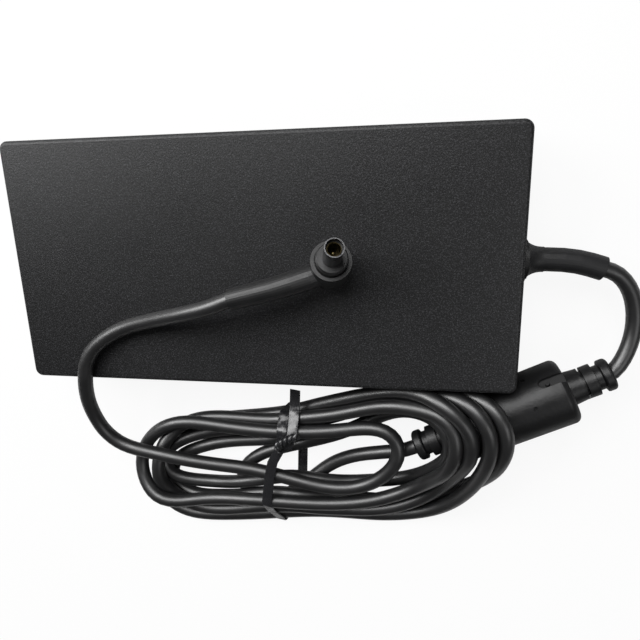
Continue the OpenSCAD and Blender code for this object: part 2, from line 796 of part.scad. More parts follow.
// Two rows along the board, from its inlet end, each with equal gaps between its parts
board_l = board_x1 - board_x0;
row_start = 6.5;                 // space for the wires from the inlet
low_row = [x_cap_l, bridge_size[0], boost_l, transformer_l, 2 * out_cap_pitch + out_cap_d];
high_row = [choke_d, bulk_l, control_size[0], choke_d];
function sum(list, n) = n == 0 ? 0 : list[n - 1] + sum(list, n - 1);
function row_gap(row) = (board_l - row_start - sum(row, len(row))) / (len(row) + 1);
function row_x(row, i) = row_start + sum(row, i) + row_gap(row) * (i + 1) + row[i] / 2;
line_choke_x = row_x(high_row, 0);
transformer_x = row_x(low_row, 3);
control_x = row_x(high_row, 2);
sink_end_gap = 2;
primary_x0 = line_choke_x + choke_d / 2 + sink_end_gap;
primary_x1 = transformer_x - transformer_l / 2 - sink_end_gap;
primary_l = primary_x1 - primary_x0;
primary_count = floor(primary_l / pack_pitch);
secondary_count = 2;

// Places across the board, from its two edges inwards
edge = board_w / 2;
bulk_y = edge - 1.4 - bulk_d / 2;
bulk_pitch = bulk_d + 0.6;
primary_y = bulk_y - bulk_pitch - bulk_d / 2 - 0.4 - foot_w;
secondary_y = edge - 32.4;
resonant_y = resonant_size[1] / 2 + 0.1 - edge;
low_row_y0 = 5.4 - edge;         // between the fuse and the parts in front of it
low_row_y1 = primary_y - 10;
boost_w = low_row_y1 - low_row_y0;
low_row_y = (low_row_y0 + low_row_y1) / 2;
transformer_y0 = resonant_y + resonant_size[1] / 2 + slide;
transformer_y1 = secondary_y - pack_size[1] - screw_head_t - slide;
x_cap_w = boost_w - 4;

fuse_at = [fuse_l / 2 + 9, 1.8 + fuse_r - edge];
varistor_at = [line_choke_x - 5, edge - 1.3 - varistor_r];
x_cap_at = [row_x(low_row, 0), low_row_y];
line_choke_at = [line_choke_x, edge - 26.4];
bridge_at = [row_x(low_row, 1), low_row_y];
boost_at = [row_x(low_row, 2), low_row_y];
y_caps_at = [line_choke_x + 4, edge - 2.4 - y_cap_r];
resonant_at = [transformer_x - (transformer_l - resonant_size[0]) / 2, resonant_y];
transformer_at = [transformer_x, (transformer_y0 + transformer_y1) / 2];
bulk_at = [row_x(high_row, 1), bulk_y];
primary_sink_at = [(primary_x0 + primary_x1) / 2, primary_y];
secondary_sink_at = [board_l - secondary_l / 2 - 7, secondary_y];
out_caps_at = [row_x(low_row, 4) - out_cap_pitch, 7 + out_cap_d / 2 - edge];
output_choke_at = [row_x(high_row, 3), edge - 4.1 - choke_d / 2];
control_at = [control_x, edge - 6.4];
optos_at = [control_x - 4, edge - 16.4];

module on_board(at) {
    translate([board_x0 + at[0], at[1], board_top]) children();
}

module fuse() color("#d7d2c2") {
    on_board(fuse_at) translate([0, 0, fuse_r + 0.3]) along_x() {
        translate([0, 0, -fuse_l / 2]) {
            cylinder(r = fuse_r, h = fuse_cap_l);
            cylinder(r = fuse_r - 0.3, h = fuse_l);
            translate([0, 0, fuse_l - fuse_cap_l]) cylinder(r = fuse_r, h = fuse_cap_l);
        }
    }
    on_board(fuse_at) for (x = [-1, 1]) {
        translate([x * (fuse_l / 2 - 2), 0, 0]) cylinder(r = 0.5, h = 1, $fn = 16);
    }
}

module varistor() color("#2f5fa8") {
    on_board(varistor_at) translate([-varistor_t / 2, 0, varistor_r + 0.6]) {
        along_x() cylinder(r = varistor_r, h = varistor_t);
    }
    on_board(varistor_at) for (y = [-1, 1]) {
        translate([0, 2.6 * y, 0]) cylinder(r = 0.45, h = 2.4, $fn = 16);
    }
}

// A block that stands on the board, centred on its place
module block(size) {
    translate([-size[0] / 2, -size[1] / 2, 0]) cube(size);
}

module x_capacitor() color("#d9b93b") {
    on_board(x_cap_at) block([x_cap_l, x_cap_w, x_cap_h]);
}

// Ring core lying on the board, with windings around two of its sides
module ring_core(h) {
    translate([0, 0, coil_t]) rotate_extrude() {
        translate([choke_bore_r, 0]) square([choke_r - choke_bore_r, h]);
    }
}

// One winding: a sector of a thick ring that wraps the core
module ring_winding(h, start, sweep) {
    difference() {
        rotate([0, 0, start]) rotate_extrude(angle = sweep) {
            translate([choke_bore_r - coil_t, 0]) {
                square([choke_r - choke_bore_r + 2 * coil_t, h + 2 * coil_t]);
            }
        }
        translate([0, 0, coil_t - skin]) rotate_extrude() {
            translate([choke_bore_r - skin, 0]) square([choke_r - choke_bore_r + 2 * skin, h + 2 * skin]);
        }
    }
}

module line_choke_core() color("#3f7f4f") {
    on_board(line_choke_at) ring_core(choke_h);
}

half_turn = 140;      // angle that one of the two windings covers
module line_choke_windings() color("#b8662e") {
    on_board(line_choke_at) for (side = [0, 180]) {
        ring_winding(choke_h, side + (180 - half_turn) / 2, half_turn);
    }
}

module y_capacitors() color("#3a78b5") {
    on_board(y_caps_at) for (x = [0, 7]) {
        translate([x - y_cap_t / 2, 0, y_cap_r + 0.5]) along_x() cylinder(r = y_cap_r, h = y_cap_t);
        for (y = [-1.6, 1.6]) {
            translate([x, y, 0]) cylinder(r = 0.4, h = 1.6, $fn = 16);
        }
    }
}

module bridge_rectifier() color("#222226") {
    on_board(bridge_at) block([bridge_size[0], x_cap_w, bridge_size[1]]);
}

// Ferrite core in two halves of E shape, around a wound bobbin whose axis runs along X
boost_size = [boost_l, boost_w, boost_h];
transformer_size = [transformer_l, transformer_y1 - transformer_y0, core_h];
module e_core(size) {
    mid_r = size[1] / 5;
    translate([-size[0] / 2, -size[1] / 2, 0]) difference() {
        cube(size);
        translate([limb_t, limb_t, -1]) cube([size[0] - 2 * limb_t, size[1] - 2 * limb_t, size[2] + 2]);
    }
    translate([-size[0] / 2 + limb_t - 0.5, 0, size[2] / 2]) along_x() {
        cylinder(r = min(mid_r, size[2] / 2 - coil_wall - 0.5), h = size[0] - 2 * limb_t + 1);
    }
}

module e_coil(size) {
    mid_r = min(size[1] / 5, size[2] / 2 - coil_wall - 0.5) + fit;
    span = size[0] - 2 * limb_t - 2 * fit;
    flange_t = 1;
    outer_r = min(size[2] / 2, size[1] / 2 - limb_t - fit);
    translate([-span / 2, 0, size[2] / 2]) along_x() difference() {
        union() {
            cylinder(r = outer_r - 0.6, h = span);
            cylinder(r = outer_r, h = flange_t);
            translate([0, 0, span - flange_t]) cylinder(r = outer_r, h = flange_t);
        }
        translate([0, 0, -1]) cylinder(r = mid_r, h = span + 2);
    }
}

module boost_choke_core() color("#4b4c50") {
    on_board(boost_at) e_core(boost_size);
}

module boost_choke_coil() color("#c07a35") {
    on_board(boost_at) e_coil(boost_size);
}

module transformer_core() color("#4b4c50") {
    on_board(transformer_at) e_core(transformer_size);
}

module transformer_coil() color("#e3c441") {
    on_board(transformer_at) e_coil(transformer_size);
}

// Two lying bulk capacitors with the crimped groove of their cans
module lying_capacitor(d, l) {
    translate([-l / 2, 0, d / 2]) along_x() rotate_extrude() polygon([
        [0, 0], [d / 2 - 0.5, 0], [d / 2, 0.5], [d / 2, 2.4], [d / 2 - 0.7, 3], [d / 2, 3.6],
        [d / 2, l - 0.5], [d / 2 - 0.5, l], [0, l]]);
}

module bulk_capacitors() color("#23272e") {
    on_board(bulk_at) lying_capacitor(bulk_d, bulk_l);
    on_board(bulk_at - [0, bulk_pitch]) lying_capacitor(bulk_d, bulk_l);
}

module resonant_capacitor() color("#8c2f2b") {
    on_board(resonant_at) block(resonant_size);
}

// Upright plate with a foot along the board, and screw holes for what it cools
hole_z = pack_size[2] - 3.5;
function along_sink(l, count) = [for (i = [0:count - 1]) (i + 0.5) * l / count - l / 2];

module sink(l, count) {
    difference() {
        union() {
            translate([-l / 2, 0, 0]) cube([l, sink_t, sink_h]);
            translate([-l / 2, 0, 0]) cube([l, foot_w, foot_t]);
        }
        for (x = along_sink(l, count)) {
            translate([x, sink_t + 1, hole_z]) rotate([90, 0, 0]) {
                cylinder(r = screw_r, h = sink_t + 2, $fn = 24);
            }
        }
    }
}

module packages(l, count) {
    for (x = along_sink(l, count)) {
        difference() {
            translate([x - pack_size[0] / 2, -pack_size[1] - skin, 0]) cube(pack_size);
            translate([x, 1, hole_z]) rotate([90, 0, 0]) {
                cylinder(r = screw_r, h = pack_size[1] + 2, $fn = 24);
            }
        }
    }
}

module screws(l, count) {
    for (x = along_sink(l, count)) {
        translate([x, -pack_size[1] - skin - screw_head_t, hole_z]) rotate([-90, 0, 0]) {
            cylinder(r = screw_head_r, h = screw_head_t - skin, $fn = 24);
            cylinder(r = screw_r - fit, h = screw_head_t + pack_size[1] + sink_t, $fn = 24);
        }
    }
}

module primary_heatsink() color("#c5c8cc") {
    on_board(primary_sink_at) sink(primary_l, primary_count);
}

module secondary_heatsink() color("#c5c8cc") {
    on_board(secondary_sink_at) sink(secondary_l, secondary_count);
}

module primary_transistors() color("#26262a") {
    on_board(primary_sink_at) packages(primary_l, primary_count);
}

module secondary_rectifiers() color("#26262a") {
    on_board(secondary_sink_at) packages(secondary_l, secondary_count);
}

module heatsink_screws() color("#b0b2b6") {
    on_board(primary_sink_at) screws(primary_l, primary_count);
    on_board(secondary_sink_at) screws(secondary_l, secondary_count);
}

module output_capacitors() color("#9aa4ae") {
    on_board(out_caps_at) for (i = [0:2], j = [0, 1]) {
        translate([i * out_cap_pitch, j * out_cap_pitch, 0]) rotate_extrude() polygon([
            [0, 0], [out_cap_d / 2, 0], [out_cap_d / 2, 1.6], [out_cap_d / 2 - 0.4, 2],
            [out_cap_d / 2, 2.4], [out_cap_d / 2, out_cap_h - 0.4], [out_cap_d / 2 - 0.4, out_cap_h],
            [0, out_cap_h]]);
    }
}

module output_choke_core() color("#c9b23c") {
    on_board(output_choke_at) ring_core(choke_h);
}

full_turn = 300;      // angle that the single winding covers
module output_choke_coil() color("#b8662e") {
    on_board(output_choke_at) ring_winding(choke_h, (360 - full_turn) / 2, full_turn);
}

module control_board() color("#2b7a46") {
    on_board(control_at) {
        block(control_size);
        for (x = [-7, 1]) {
            translate([x, -control_size[1] / 2 - chip_size[1] + 0.2, 6]) cube(chip_size);
        }
    }
}

module optocouplers() color("#18181b") {
    on_board(optos_at) for (x = [0, opto_pitch]) {
        translate([x, 0, 0]) cube(opto_size);
    }
}

// Soft pads that fill the space between the hot parts and the upper heat spreader
module pad_on(size_x, size_y, top) {
    translate([-size_x / 2, 0, top - board_top]) cube([size_x, size_y, upper_shield_z - top]);
}

module thermal_pads() color("#8fa7b8") {
    on_board(primary_sink_at) pad_on(primary_l, sink_t, sink_top);
    on_board(secondary_sink_at) pad_on(secondary_l, sink_t, sink_top);
    on_board(transformer_at) translate([0, -transformer_size[1] / 2, 0]) {
        pad_on(transformer_size[0], limb_t, board_top + core_h);
        translate([0, transformer_size[1] - limb_t, 0]) {
            pad_on(transformer_size[0], limb_t, board_top + core_h);
        }
    }
    on_board(boost_at) translate([0, -boost_size[1] / 2, 0]) {
        pad_on(boost_size[0], limb_t, board_top + boost_size[2]);
    }
}

// Two heavy wires from the board into the gland
out_wire_r = 1.5;
module output_wires() color("#8d1f1f") {
    start_x = board_x1 - 5;
    for (y = [-2, 2]) {
        tube([[start_x, 2.5 * y, board_top], [start_x, 2.5 * y, board_top + 1.6],
              [start_x + 0.8, 2.3 * y, board_top + 3.4], [start_x + 2.6, 1.8 * y, axis_z - 0.8],
              [tail_x - 1.4, y, axis_z], [tail_x, y, axis_z]],
             out_wire_r, [0, 0, 1], [1, 0, 0], [0, 1, 0], 8);
    }
}

top_cover();
bottom_cover();
inlet_housing();
inlet_line_blade();
inlet_neutral_blade();
inlet_earth_blade();
inlet_wires();
cord_gland();
cord_gland_run();
ferrite_cover();
ferrite_core();
cord_core_run();
cord_ferrite_run();
cord_hank();
cable_tie();
cord_plug_run();
plug_boot();
plug_barrel();
plug_insulator();
plug_contact();
plug_centre_pin();
main_board();
insulation_sheet();
lower_shield();
upper_shield();
thermal_pads();
fuse();
varistor();
x_capacitor();
line_choke_core();
line_choke_windings();
y_capacitors();
bridge_rectifier();
boost_choke_core();
boost_choke_coil();
bulk_capacitors();
primary_heatsink();
primary_transistors();
resonant_capacitor();
transformer_core();
transformer_coil();
secondary_heatsink();
secondary_rectifiers();
output_capacitors();
output_choke_core();
output_choke_coil();
control_board();
optocouplers();
heatsink_screws();
output_wires();
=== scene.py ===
"""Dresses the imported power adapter: its cord, wire tie, mouldings, plug and finishes."""

import json
import math

import bmesh
import bpy
import numpy as np
from mathutils import Matrix, Vector


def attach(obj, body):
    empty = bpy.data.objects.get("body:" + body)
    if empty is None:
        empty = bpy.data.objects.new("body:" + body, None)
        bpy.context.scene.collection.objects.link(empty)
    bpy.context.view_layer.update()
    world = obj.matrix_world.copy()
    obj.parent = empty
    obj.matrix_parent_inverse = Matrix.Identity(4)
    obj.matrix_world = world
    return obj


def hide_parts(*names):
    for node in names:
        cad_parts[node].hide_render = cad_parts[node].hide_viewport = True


bl_info = {
    "name": "Laptop power adapter",
    "version": (1, 0, 0),
    "blender": (4, 5, 0),
    "location": "3D View > Sidebar > Adapter",
    "description": "Lays the cord and finishes each part of a slim laptop power adapter",
    "category": "Add Mesh",
}

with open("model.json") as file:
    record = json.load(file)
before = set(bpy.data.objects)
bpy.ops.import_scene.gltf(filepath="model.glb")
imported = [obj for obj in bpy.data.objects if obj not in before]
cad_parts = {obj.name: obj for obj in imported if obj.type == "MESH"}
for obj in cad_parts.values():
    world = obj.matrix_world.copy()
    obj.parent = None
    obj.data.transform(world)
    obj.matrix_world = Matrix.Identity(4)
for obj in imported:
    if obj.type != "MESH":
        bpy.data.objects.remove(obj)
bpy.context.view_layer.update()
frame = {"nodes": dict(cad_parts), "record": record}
SLOT_COLOURS = {m["slot"]: m["base_color"] for m in frame["record"]["materials"]}
MM_PER_M = 1000

# ---------------------------------------------------------------- the cord, in millimetres

CORD_D = 5.4
FERRITE_MID = np.array([89.9, -55.5, 11.7])
FERRITE_TURN = math.radians(26)
FERRITE_DIR = np.array([math.cos(FERRITE_TURN), math.sin(FERRITE_TURN), 0.0])
# Half the length and the radius of the ferrite's body, and the same for its strain reliefs.
FERRITE_BODY = (21.5, 11.7)
FERRITE_RELIEF = (36.5, 6.15)
# Radius of the body's shoulders.
FERRITE_SHOULDER = 3
# Stations inside the ferrite, counted from its middle towards the gland.
FERRITE_BORE = (36.5, 24, 12, 0, -12, -24, -36.5)
# Where the case's side stops the cord, and up to what height.
CASE_SIDE = -43.5
CASE_SIDE_TOP = 28

# ---------------------------------------------------------------- how the turns settle

SETTLE_ROUNDS = 220
# Rounds between two searches for turns that lie near each other, and the gap up to which they do.
SEARCH_EVERY = 8
SEARCH_GAP = 3.5
# Points at least this many steps apart count as two turns.
SAME_TURN = 6
# Passes in a round that even out the bends, and how strongly each one does.
STRAIGHTEN_PASSES = 5
STRAIGHTEN = 0.45
# Share of the way back to where it was laid that a point moves in a round, along each axis.
HOMING = np.array([0.06, 0.06, 0.015])
# How far a point sinks in the first round, and less in each round after it.
SINK = 0.05
# How much of the push between two turns is carried out in a round.
PUSH = 0.55
# Share of a push that the points next to it follow, and how many steps away they are.
PUSH_ALONG = ((0.8, 1), (0.5, 2), (0.2, 3))
# Share of the way out that a point inside the ferrite moves in a round.
FERRITE_LIFT = 0.5
# Added to distances that others are divided by.
LEAST_GAP = 1e-6
LEAST_REACH = 1e-9
# A span between two stations gets a cut for each millimetre, and at least this many.
SPAN_CUTS = 3

# ---------------------------------------------------------------- the wire tie, in millimetres

TIE_MID = np.array([5.0, -82.0, 0.0])
TIE_TURN = math.radians(-9)
TIE_WIDTH = 3.6
TIE_THICK = 0.5
TIE_STEP = 0.8
# Turns of the cord up to this far from the tie's middle are inside it, each as a ring of dots.
TIE_REACH = 40
TIE_DOTS = 40
# Sideways drift where it passes over and under the hank, against the distance across it.
TIE_OVER = ((-31, -16.5, -5, 2, 8, 13, 24, 28), (-1, -4.2, -4.3, -3.8, -1.6, -1.3, -2.6, -1))
TIE_UNDER = ((-31, -9, 2, 20, 28), (1.3, 6.3, 5.1, 2, 0))
# The height where the drift under the hank starts to turn into the one over it, and the rise it takes.
TIE_SIDE_LOW = 1
TIE_SIDE_RISE = 10
# The loop's upper side is what lies above this height.
TIE_UPPER_SIDE = 8
# The tail's height is counted from the upper side, at this distance towards the case.
TIE_TAIL_FROM = 12
# Its sideways drift and its height, against the distance towards the case.
TIE_TAIL_DRIFT = ((10, 16, 27, 33), (1.2, 2.8, 1.3, 0.6))
TIE_TAIL_LIFT = ((10, 1.2), (13, 1.4), (15.5, 1), (19, -0.9), (23, -3.3), (26, -4.4), (32, -5))
# The knot's way from the tie's middle: along the cord, towards the case, and up.
TIE_KNOT = (
    (5.2, 17, 20.3), (2.4, 15.2, 19.9), (-0.4, 12.9, 19.6), (-1.9, 11.2, 19.4), (-1.7, 9.4, 18.9),
    (-1.4, 7.6, 18.2),
)
TIE_KNOT_STEP = 0.35
# Turn of the two ends round each other in a step, in radians, and the radius of each end.
TIE_TWIST = 0.5
TIE_TWIST_R = 0.85

# ---------------------------------------------------------------- stations along the cord, in millimetres

GLAND_TURN = [
    (116.2, -3.1, 13), (120.1, -4.5, 12.7), (123.8, -7.8, 12), (126.6, -12.4, 11), (128.3, -18, 10.2),
    (128.8, -23.8, 9.8), (128.1, -29.2, 10.1), (126.5, -33.9, 10.8), (124.8, -37, 11.4),
]
FERRITE_LEAD = [
    (51.6, -74.2, 10.8), (46, -75.8, 9.4), (40, -77.6, 7.9), (34.6, -79.4, 6.8),
]
# The hank's turns, from the first one out of the ferrite to the last one, which lies on top.
TURN_1 = [
    (24.9, -84.5, 4.8), (18.8, -89.4, 3.8), (13.4, -94.5, 3), (7.6, -99.4, 2.7), (1.3, -103, 2.7),
    (-5.4, -104.8, 2.7), (-11.4, -103.9, 2.7), (-15.5, -100.5, 2.7), (-17, -95.8, 2.7),
    (-15.3, -90.8, 2.9), (-11.3, -86.7, 3.3), (-6.1, -82.9, 4), (0.3, -79.6, 4.8), (6.9, -77.5, 5.4),
    (12.9, -75.9, 5.6), (18.7, -74.1, 5.6), (25.6, -71.7, 5.6), (32.2, -68.6, 6), (38.3, -64.7, 7.2),
    (43.5, -61.2, 8.8), (47.7, -58.6, 10.8), (51.9, -56.9, 13), (56.3, -56.1, 15.4),
    (61.7, -56.7, 17.2), (64.9, -57.8, 18.6), (67.3, -60.1, 19.4), (68.6, -63.8, 19.4),
    (68.6, -68.1, 18.4), (67.2, -73.2, 16.2), (64.4, -78.7, 13), (60.8, -83.3, 10.4), (56.2, -87, 8),
    (51, -89.3, 6.4), (45.6, -90.7, 5.6), (38.9, -91.8, 5.2), (32, -92.5, 5.2), (25.2, -92, 5.6),
    (18.4, -90.7, 6.4), (11.6, -90, 7.4),
]
TURN_2 = [
    (4.7, -90.2, 8), (-0.3, -91.4, 8.1), (-5.5, -92.6, 8.1), (-11.2, -93.1, 8), (-17, -94.5, 6.4),
    (-23.3, -96.3, 4.2), (-29.7, -96.8, 4.2), (-35.7, -96.1, 6.2), (-40.8, -95.3, 8),
    (-45.6, -94.5, 8.3), (-48.8, -91.8, 8.3), (-49.9, -88.4, 8.2), (-49.5, -84.7, 7.6),
    (-48.1, -81.5, 6.2), (-45.6, -79.1, 4.4), (-41.6, -77.3, 3.2), (-35.8, -75.8, 2.7),
    (-28, -74.4, 2.7), (-19.5, -73.3, 2.7), (-10.7, -72.5, 2.7), (-2, -71.3, 2.7), (6.6, -69.4, 2.7),
    (13.4, -67.9, 2.7), (20.5, -66.2, 2.7), (27, -64.1, 2.7), (34.8, -60.6, 3), (42.8, -56.8, 4.5),
    (50.6, -53.5, 8), (57.3, -51.1, 12), (63.7, -49.2, 16), (69.4, -48.1, 19.5), (74.8, -47.5, 23.3),
    (79.8, -48.3, 26.2), (83.6, -50.5, 27.6), (86, -54.6, 28), (87.2, -59.8, 27.4), (87, -65.8, 25.5),
    (85.6, -72.7, 22), (82.9, -79.5, 17.5), (78.5, -86.2, 12.5), (72.7, -92, 8), (65.3, -96.6, 4.8),
    (56.2, -99.6, 3.4), (46.9, -101.1, 3), (36.6, -101.6, 3), (26.1, -101.2, 3.4), (17.1, -100, 5),
    (9.8, -98.4, 7),
]
TURN_3 = [
    (2.8, -97.9, 8), (-4.5, -98.4, 8.1), (-10.8, -99.4, 7.6), (-16.9, -101.7, 5.6),
    (-23.1, -103.9, 3.6), (-32.8, -105.4, 2.7), (-39.3, -105, 2.7), (-44.3, -102.9, 2.7),
    (-47.5, -99.4, 2.7), (-48.4, -95, 2.7), (-47, -90.3, 2.7), (-43.2, -86.6, 2.7), (-38.8, -84.5, 2.7),
    (-33.2, -82.2, 2.7), (-27.1, -79.9, 2.7), (-19.8, -78.3, 2.7), (-10.9, -76.9, 2.7),
    (-3.1, -75.7, 2.7), (4, -73.4, 3.1), (10.4, -69.8, 4.8), (16.3, -65.6, 7), (21.8, -62, 8.1),
    (27, -59.5, 7.6), (33.2, -57, 6.6), (42.3, -53.7, 8), (51.4, -50.8, 12.5), (58.3, -49.2, 16.5),
    (64.5, -48.2, 20.3), (69.7, -47.9, 24), (74.4, -48.8, 26.8), (78.1, -51.3, 28.2),
    (80.7, -55.3, 28.6), (81.9, -60.1, 28.4), (81.8, -66.2, 26.8), (80.7, -73.6, 23.5),
    (78.3, -81.9, 18.5), (74.2, -90.5, 13), (68.3, -97.8, 8.5), (60.7, -103.6, 5.2),
    (51.9, -106.8, 3.4), (41.9, -108.2, 2.7), (31, -108.3, 2.7), (19.5, -108.7, 2.7),
    (8.5, -109.7, 2.7),
]
TURN_4 = [
    (-2.6, -111.4, 2.7), (-13.1, -112.9, 2.7), (-23.2, -114, 2.7), (-33.5, -114.7, 2.7),
    (-42.4, -114, 2.7), (-49.5, -110.6, 2.7), (-53.8, -105.4, 2.7), (-55.2, -99, 2.7),
    (-54.9, -92.3, 2.7), (-52.9, -86.1, 2.7), (-49.9, -81.1, 2.7), (-45.9, -76.6, 2.7),
    (-40.5, -73, 2.7), (-33.5, -70.5, 2.7), (-26.2, -68.7, 2.7), (-18.2, -67.4, 2.7),
    (-10.3, -66.5, 2.8), (-3.2, -65.4, 3.4), (4, -63.6, 5), (10.4, -61.5, 7.2), (16.6, -58.8, 9.6),
    (22.5, -56.5, 11.4), (28.2, -54.4, 12.6), (33.6, -52.3, 13.4), (39, -50.8, 14.2),
    (44.9, -49.5, 15.2), (51.5, -48.6, 17), (57.9, -48.3, 19.2), (63.4, -48.7, 21.8),
    (68.1, -50.1, 24.2), (71.8, -52.5, 25.8), (74.4, -56.4, 26.4), (75.4, -61.1, 26.2),
    (75.1, -67.4, 24), (73.1, -75.3, 20), (69.7, -83.1, 15.5), (64.9, -90.5, 11), (58.6, -96.3, 8),
    (51.1, -99.9, 6.6), (42.2, -102.3, 6.2), (31.5, -103.7, 6.6), (20.3, -104, 7.2), (9.8, -104.1, 7.8),
]
TURN_5 = [
    (-0.5, -104.7, 8.1), (-11, -106, 8.1), (-20.9, -107.2, 8.1), (-30.9, -108, 8.1),
    (-38.9, -106.8, 8.3), (-44.9, -103, 9.2), (-48, -97.1, 11), (-48.8, -90.4, 12.8),
    (-48.4, -83.9, 13.2), (-47.2, -78.7, 12), (-44.8, -74.3, 10), (-40.8, -70.6, 8.6),
    (-35.2, -67.9, 7.8), (-27.8, -66.2, 7.6), (-18, -65.5, 8), (-8.4, -65.4, 8.8), (1, -65, 9.8),
    (7.9, -63.5, 11), (13.5, -61.8, 12.4), (20.4, -60.3, 13.4), (27, -59, 14), (33.4, -57, 15),
    (39.9, -54.6, 16.6), (44, -53.2, 17.8), (48, -52.1, 18.8), (52.4, -51.2, 20.2), (56.2, -50.9, 21.4),
    (59.9, -50.9, 22.8), (63.7, -51.7, 24.4), (67.3, -53.8, 25.8), (69.7, -57.3, 26.6),
    (70.7, -61.5, 26.4), (70.4, -66.7, 24.6), (67.9, -74.2, 20.8), (62.5, -82.4, 16.4),
    (56.7, -88.5, 13.6), (50.4, -92.6, 12.4), (44.9, -95.3, 12), (39.4, -97, 12), (30.6, -98.6, 12.2),
    (21.3, -99.2, 12.6), (12.3, -99, 13),
]
TURN_6 = [
    (3.2, -98.6, 13.2), (-4.8, -98.6, 13.2), (-13.9, -99.3, 12.8), (-22.6, -100.5, 12),
    (-29.2, -101.3, 11.4), (-37.3, -101.9, 11), (-45.5, -101.2, 11), (-51.8, -98.1, 11),
    (-55.9, -93.7, 11), (-57.6, -88.2, 11.2), (-56.9, -82.4, 11.4), (-54, -77.3, 11.6),
    (-50.1, -73, 12), (-45.7, -69.7, 12.6), (-41.2, -67.5, 13), (-36.7, -66.3, 13),
    (-31.6, -66.1, 12.8), (-25.7, -66.5, 12.8), (-16.4, -67.2, 13), (-7.1, -67.6, 13.6),
    (1.3, -67.5, 14.4), (8.7, -67.2, 15), (14.7, -66.8, 15.2), (20.6, -66.4, 15.2), (27.1, -65.9, 15),
    (33.3, -64.8, 15), (39.8, -63.7, 15.2), (43.9, -63.7, 15.4), (47.2, -64.9, 15.4),
    (49.8, -67.3, 15.4), (50.9, -70.8, 15.4), (50.3, -74.8, 15.4), (48.2, -79.1, 15.2),
    (44.8, -83.3, 15), (39.6, -87.3, 14.6), (33.9, -90, 14), (28.5, -91, 13.6), (21.9, -90.9, 13.4),
    (15.2, -89.7, 13.4), (8.3, -88.3, 13.6), (2.2, -86.9, 14), (-3.3, -85.6, 14.4), (-12.3, -84.1, 15),
    (-21.2, -83.1, 15.8), (-29.8, -81.5, 17.4), (-38.7, -79.7, 18.8),
]
PLUG_LEAD = [
    (-47.9, -77.5, 19), (-57.5, -75.6, 18.8), (-63.1, -72.4, 19.2), (-66.8, -67.6, 20.4),
    (-68.7, -61.2, 22.2), (-68.9, -54.4, 24.6), (-67.9, -47.7, 26.8), (-66.3, -41.7, 28.4),
    (-64.9, -36.4, 28.7), (-62.2, -32, 28.7), (-57.8, -27.9, 28.7), (-52.5, -24.6, 28.8),
    (-46.3, -21.9, 29.4), (-38, -19.4, 31.4), (-29.4, -17.1, 34), (-21.2, -15, 36.4),
    (-11.5, -12.3, 38.4), (-3.55, -9.35, 38.79),
]

# The turns settle between these two stations, and the rest of the cord stays as laid.
FREE_FROM = FERRITE_LEAD[2]
FREE_TO = PLUG_LEAD[2]


def even_places(line, step, closed=False):
    """How far along a line its points lie, and the even places to cut it at."""
    run = np.r_[0, np.cumsum(np.linalg.norm(np.diff(line, axis=0), axis=1))]
    cuts = int(round(run[-1] / step))
    return run, np.linspace(0, run[-1], cuts if closed else cuts + 1, endpoint=not closed)


def smooth_line(stations, step):
    """A centripetal Catmull-Rom line through the stations, cut into even steps."""
    pts = np.asarray(stations, float)
    pts = np.vstack([2 * pts[0] - pts[1], pts, 2 * pts[-1] - pts[-2]])
    line = []
    for i in range(1, len(pts) - 2):
        a, b, c, d = pts[i - 1], pts[i], pts[i + 1], pts[i + 2]
        t1 = np.linalg.norm(b - a) ** 0.5
        t2 = t1 + np.linalg.norm(c - b) ** 0.5
        t3 = t2 + np.linalg.norm(d - c) ** 0.5
        cuts = max(SPAN_CUTS, int(np.linalg.norm(c - b)))
        for t in np.linspace(t1, t2, cuts, endpoint=False):
            ab = a + (b - a) * t / t1
            bc = b + (c - b) * (t - t1) / (t2 - t1)
            cd = c + (d - c) * (t - t2) / (t3 - t2)
            abc = ab + (bc - ab) * t / t2
            bcd = bc + (cd - bc) * (t - t1) / (t3 - t1)
            line.append(abc + (bcd - abc) * (t - t1) / (t2 - t1))
    line.append(pts[-2])
    line = np.array(line)
    run, at = even_places(line, step)
    return np.stack([np.interp(at, run, line[:, k]) for k in range(3)], 1)


def near_pairs(line):
    """Pairs of points on different turns that lie near each other."""
    one, two = np.triu_indices(len(line), SAME_TURN)
    gap = line[two] - line[one]
    near = (gap * gap).sum(1) < (CORD_D + SEARCH_GAP) ** 2
    return one[near], two[near]


def straighten(line, free):
    """Evens out the change of bend along the cord."""
    pull = np.zeros_like(line)
    pull[1:-1] = 0.5 * (line[:-2] + line[2:]) - line[1:-1]
    bend = np.zeros_like(line)
    bend[2:-2] = pull[2:-2] - 0.5 * (pull[1:-3] + pull[3:-1])
    line[free] += STRAIGHTEN * bend[free]


def push_apart(line, free, one, two):
    """Moves turns that run into each other apart, and the points next to them along."""
    gap = line[two] - line[one]
    far = np.sqrt((gap * gap).sum(1)) + LEAST_GAP
    hit = far < CORD_D
    if not hit.any():
        return
    push = gap[hit] * ((CORD_D - far[hit]) / far[hit] * 0.5)[:, None]
    move = np.zeros_like(line)
    count = np.zeros(len(line))
    for points, way in ((one[hit], -push), (two[hit], push)):
        np.add.at(move, points, way)
        np.add.at(count, points, 1)
    move /= np.maximum(1, np.sqrt(count))[:, None]
    spread = move.copy()
    for share, off in PUSH_ALONG:
        spread[off:] += share * move[:-off]
        spread[:-off] += share * move[off:]
    line[free] += PUSH * spread[free]


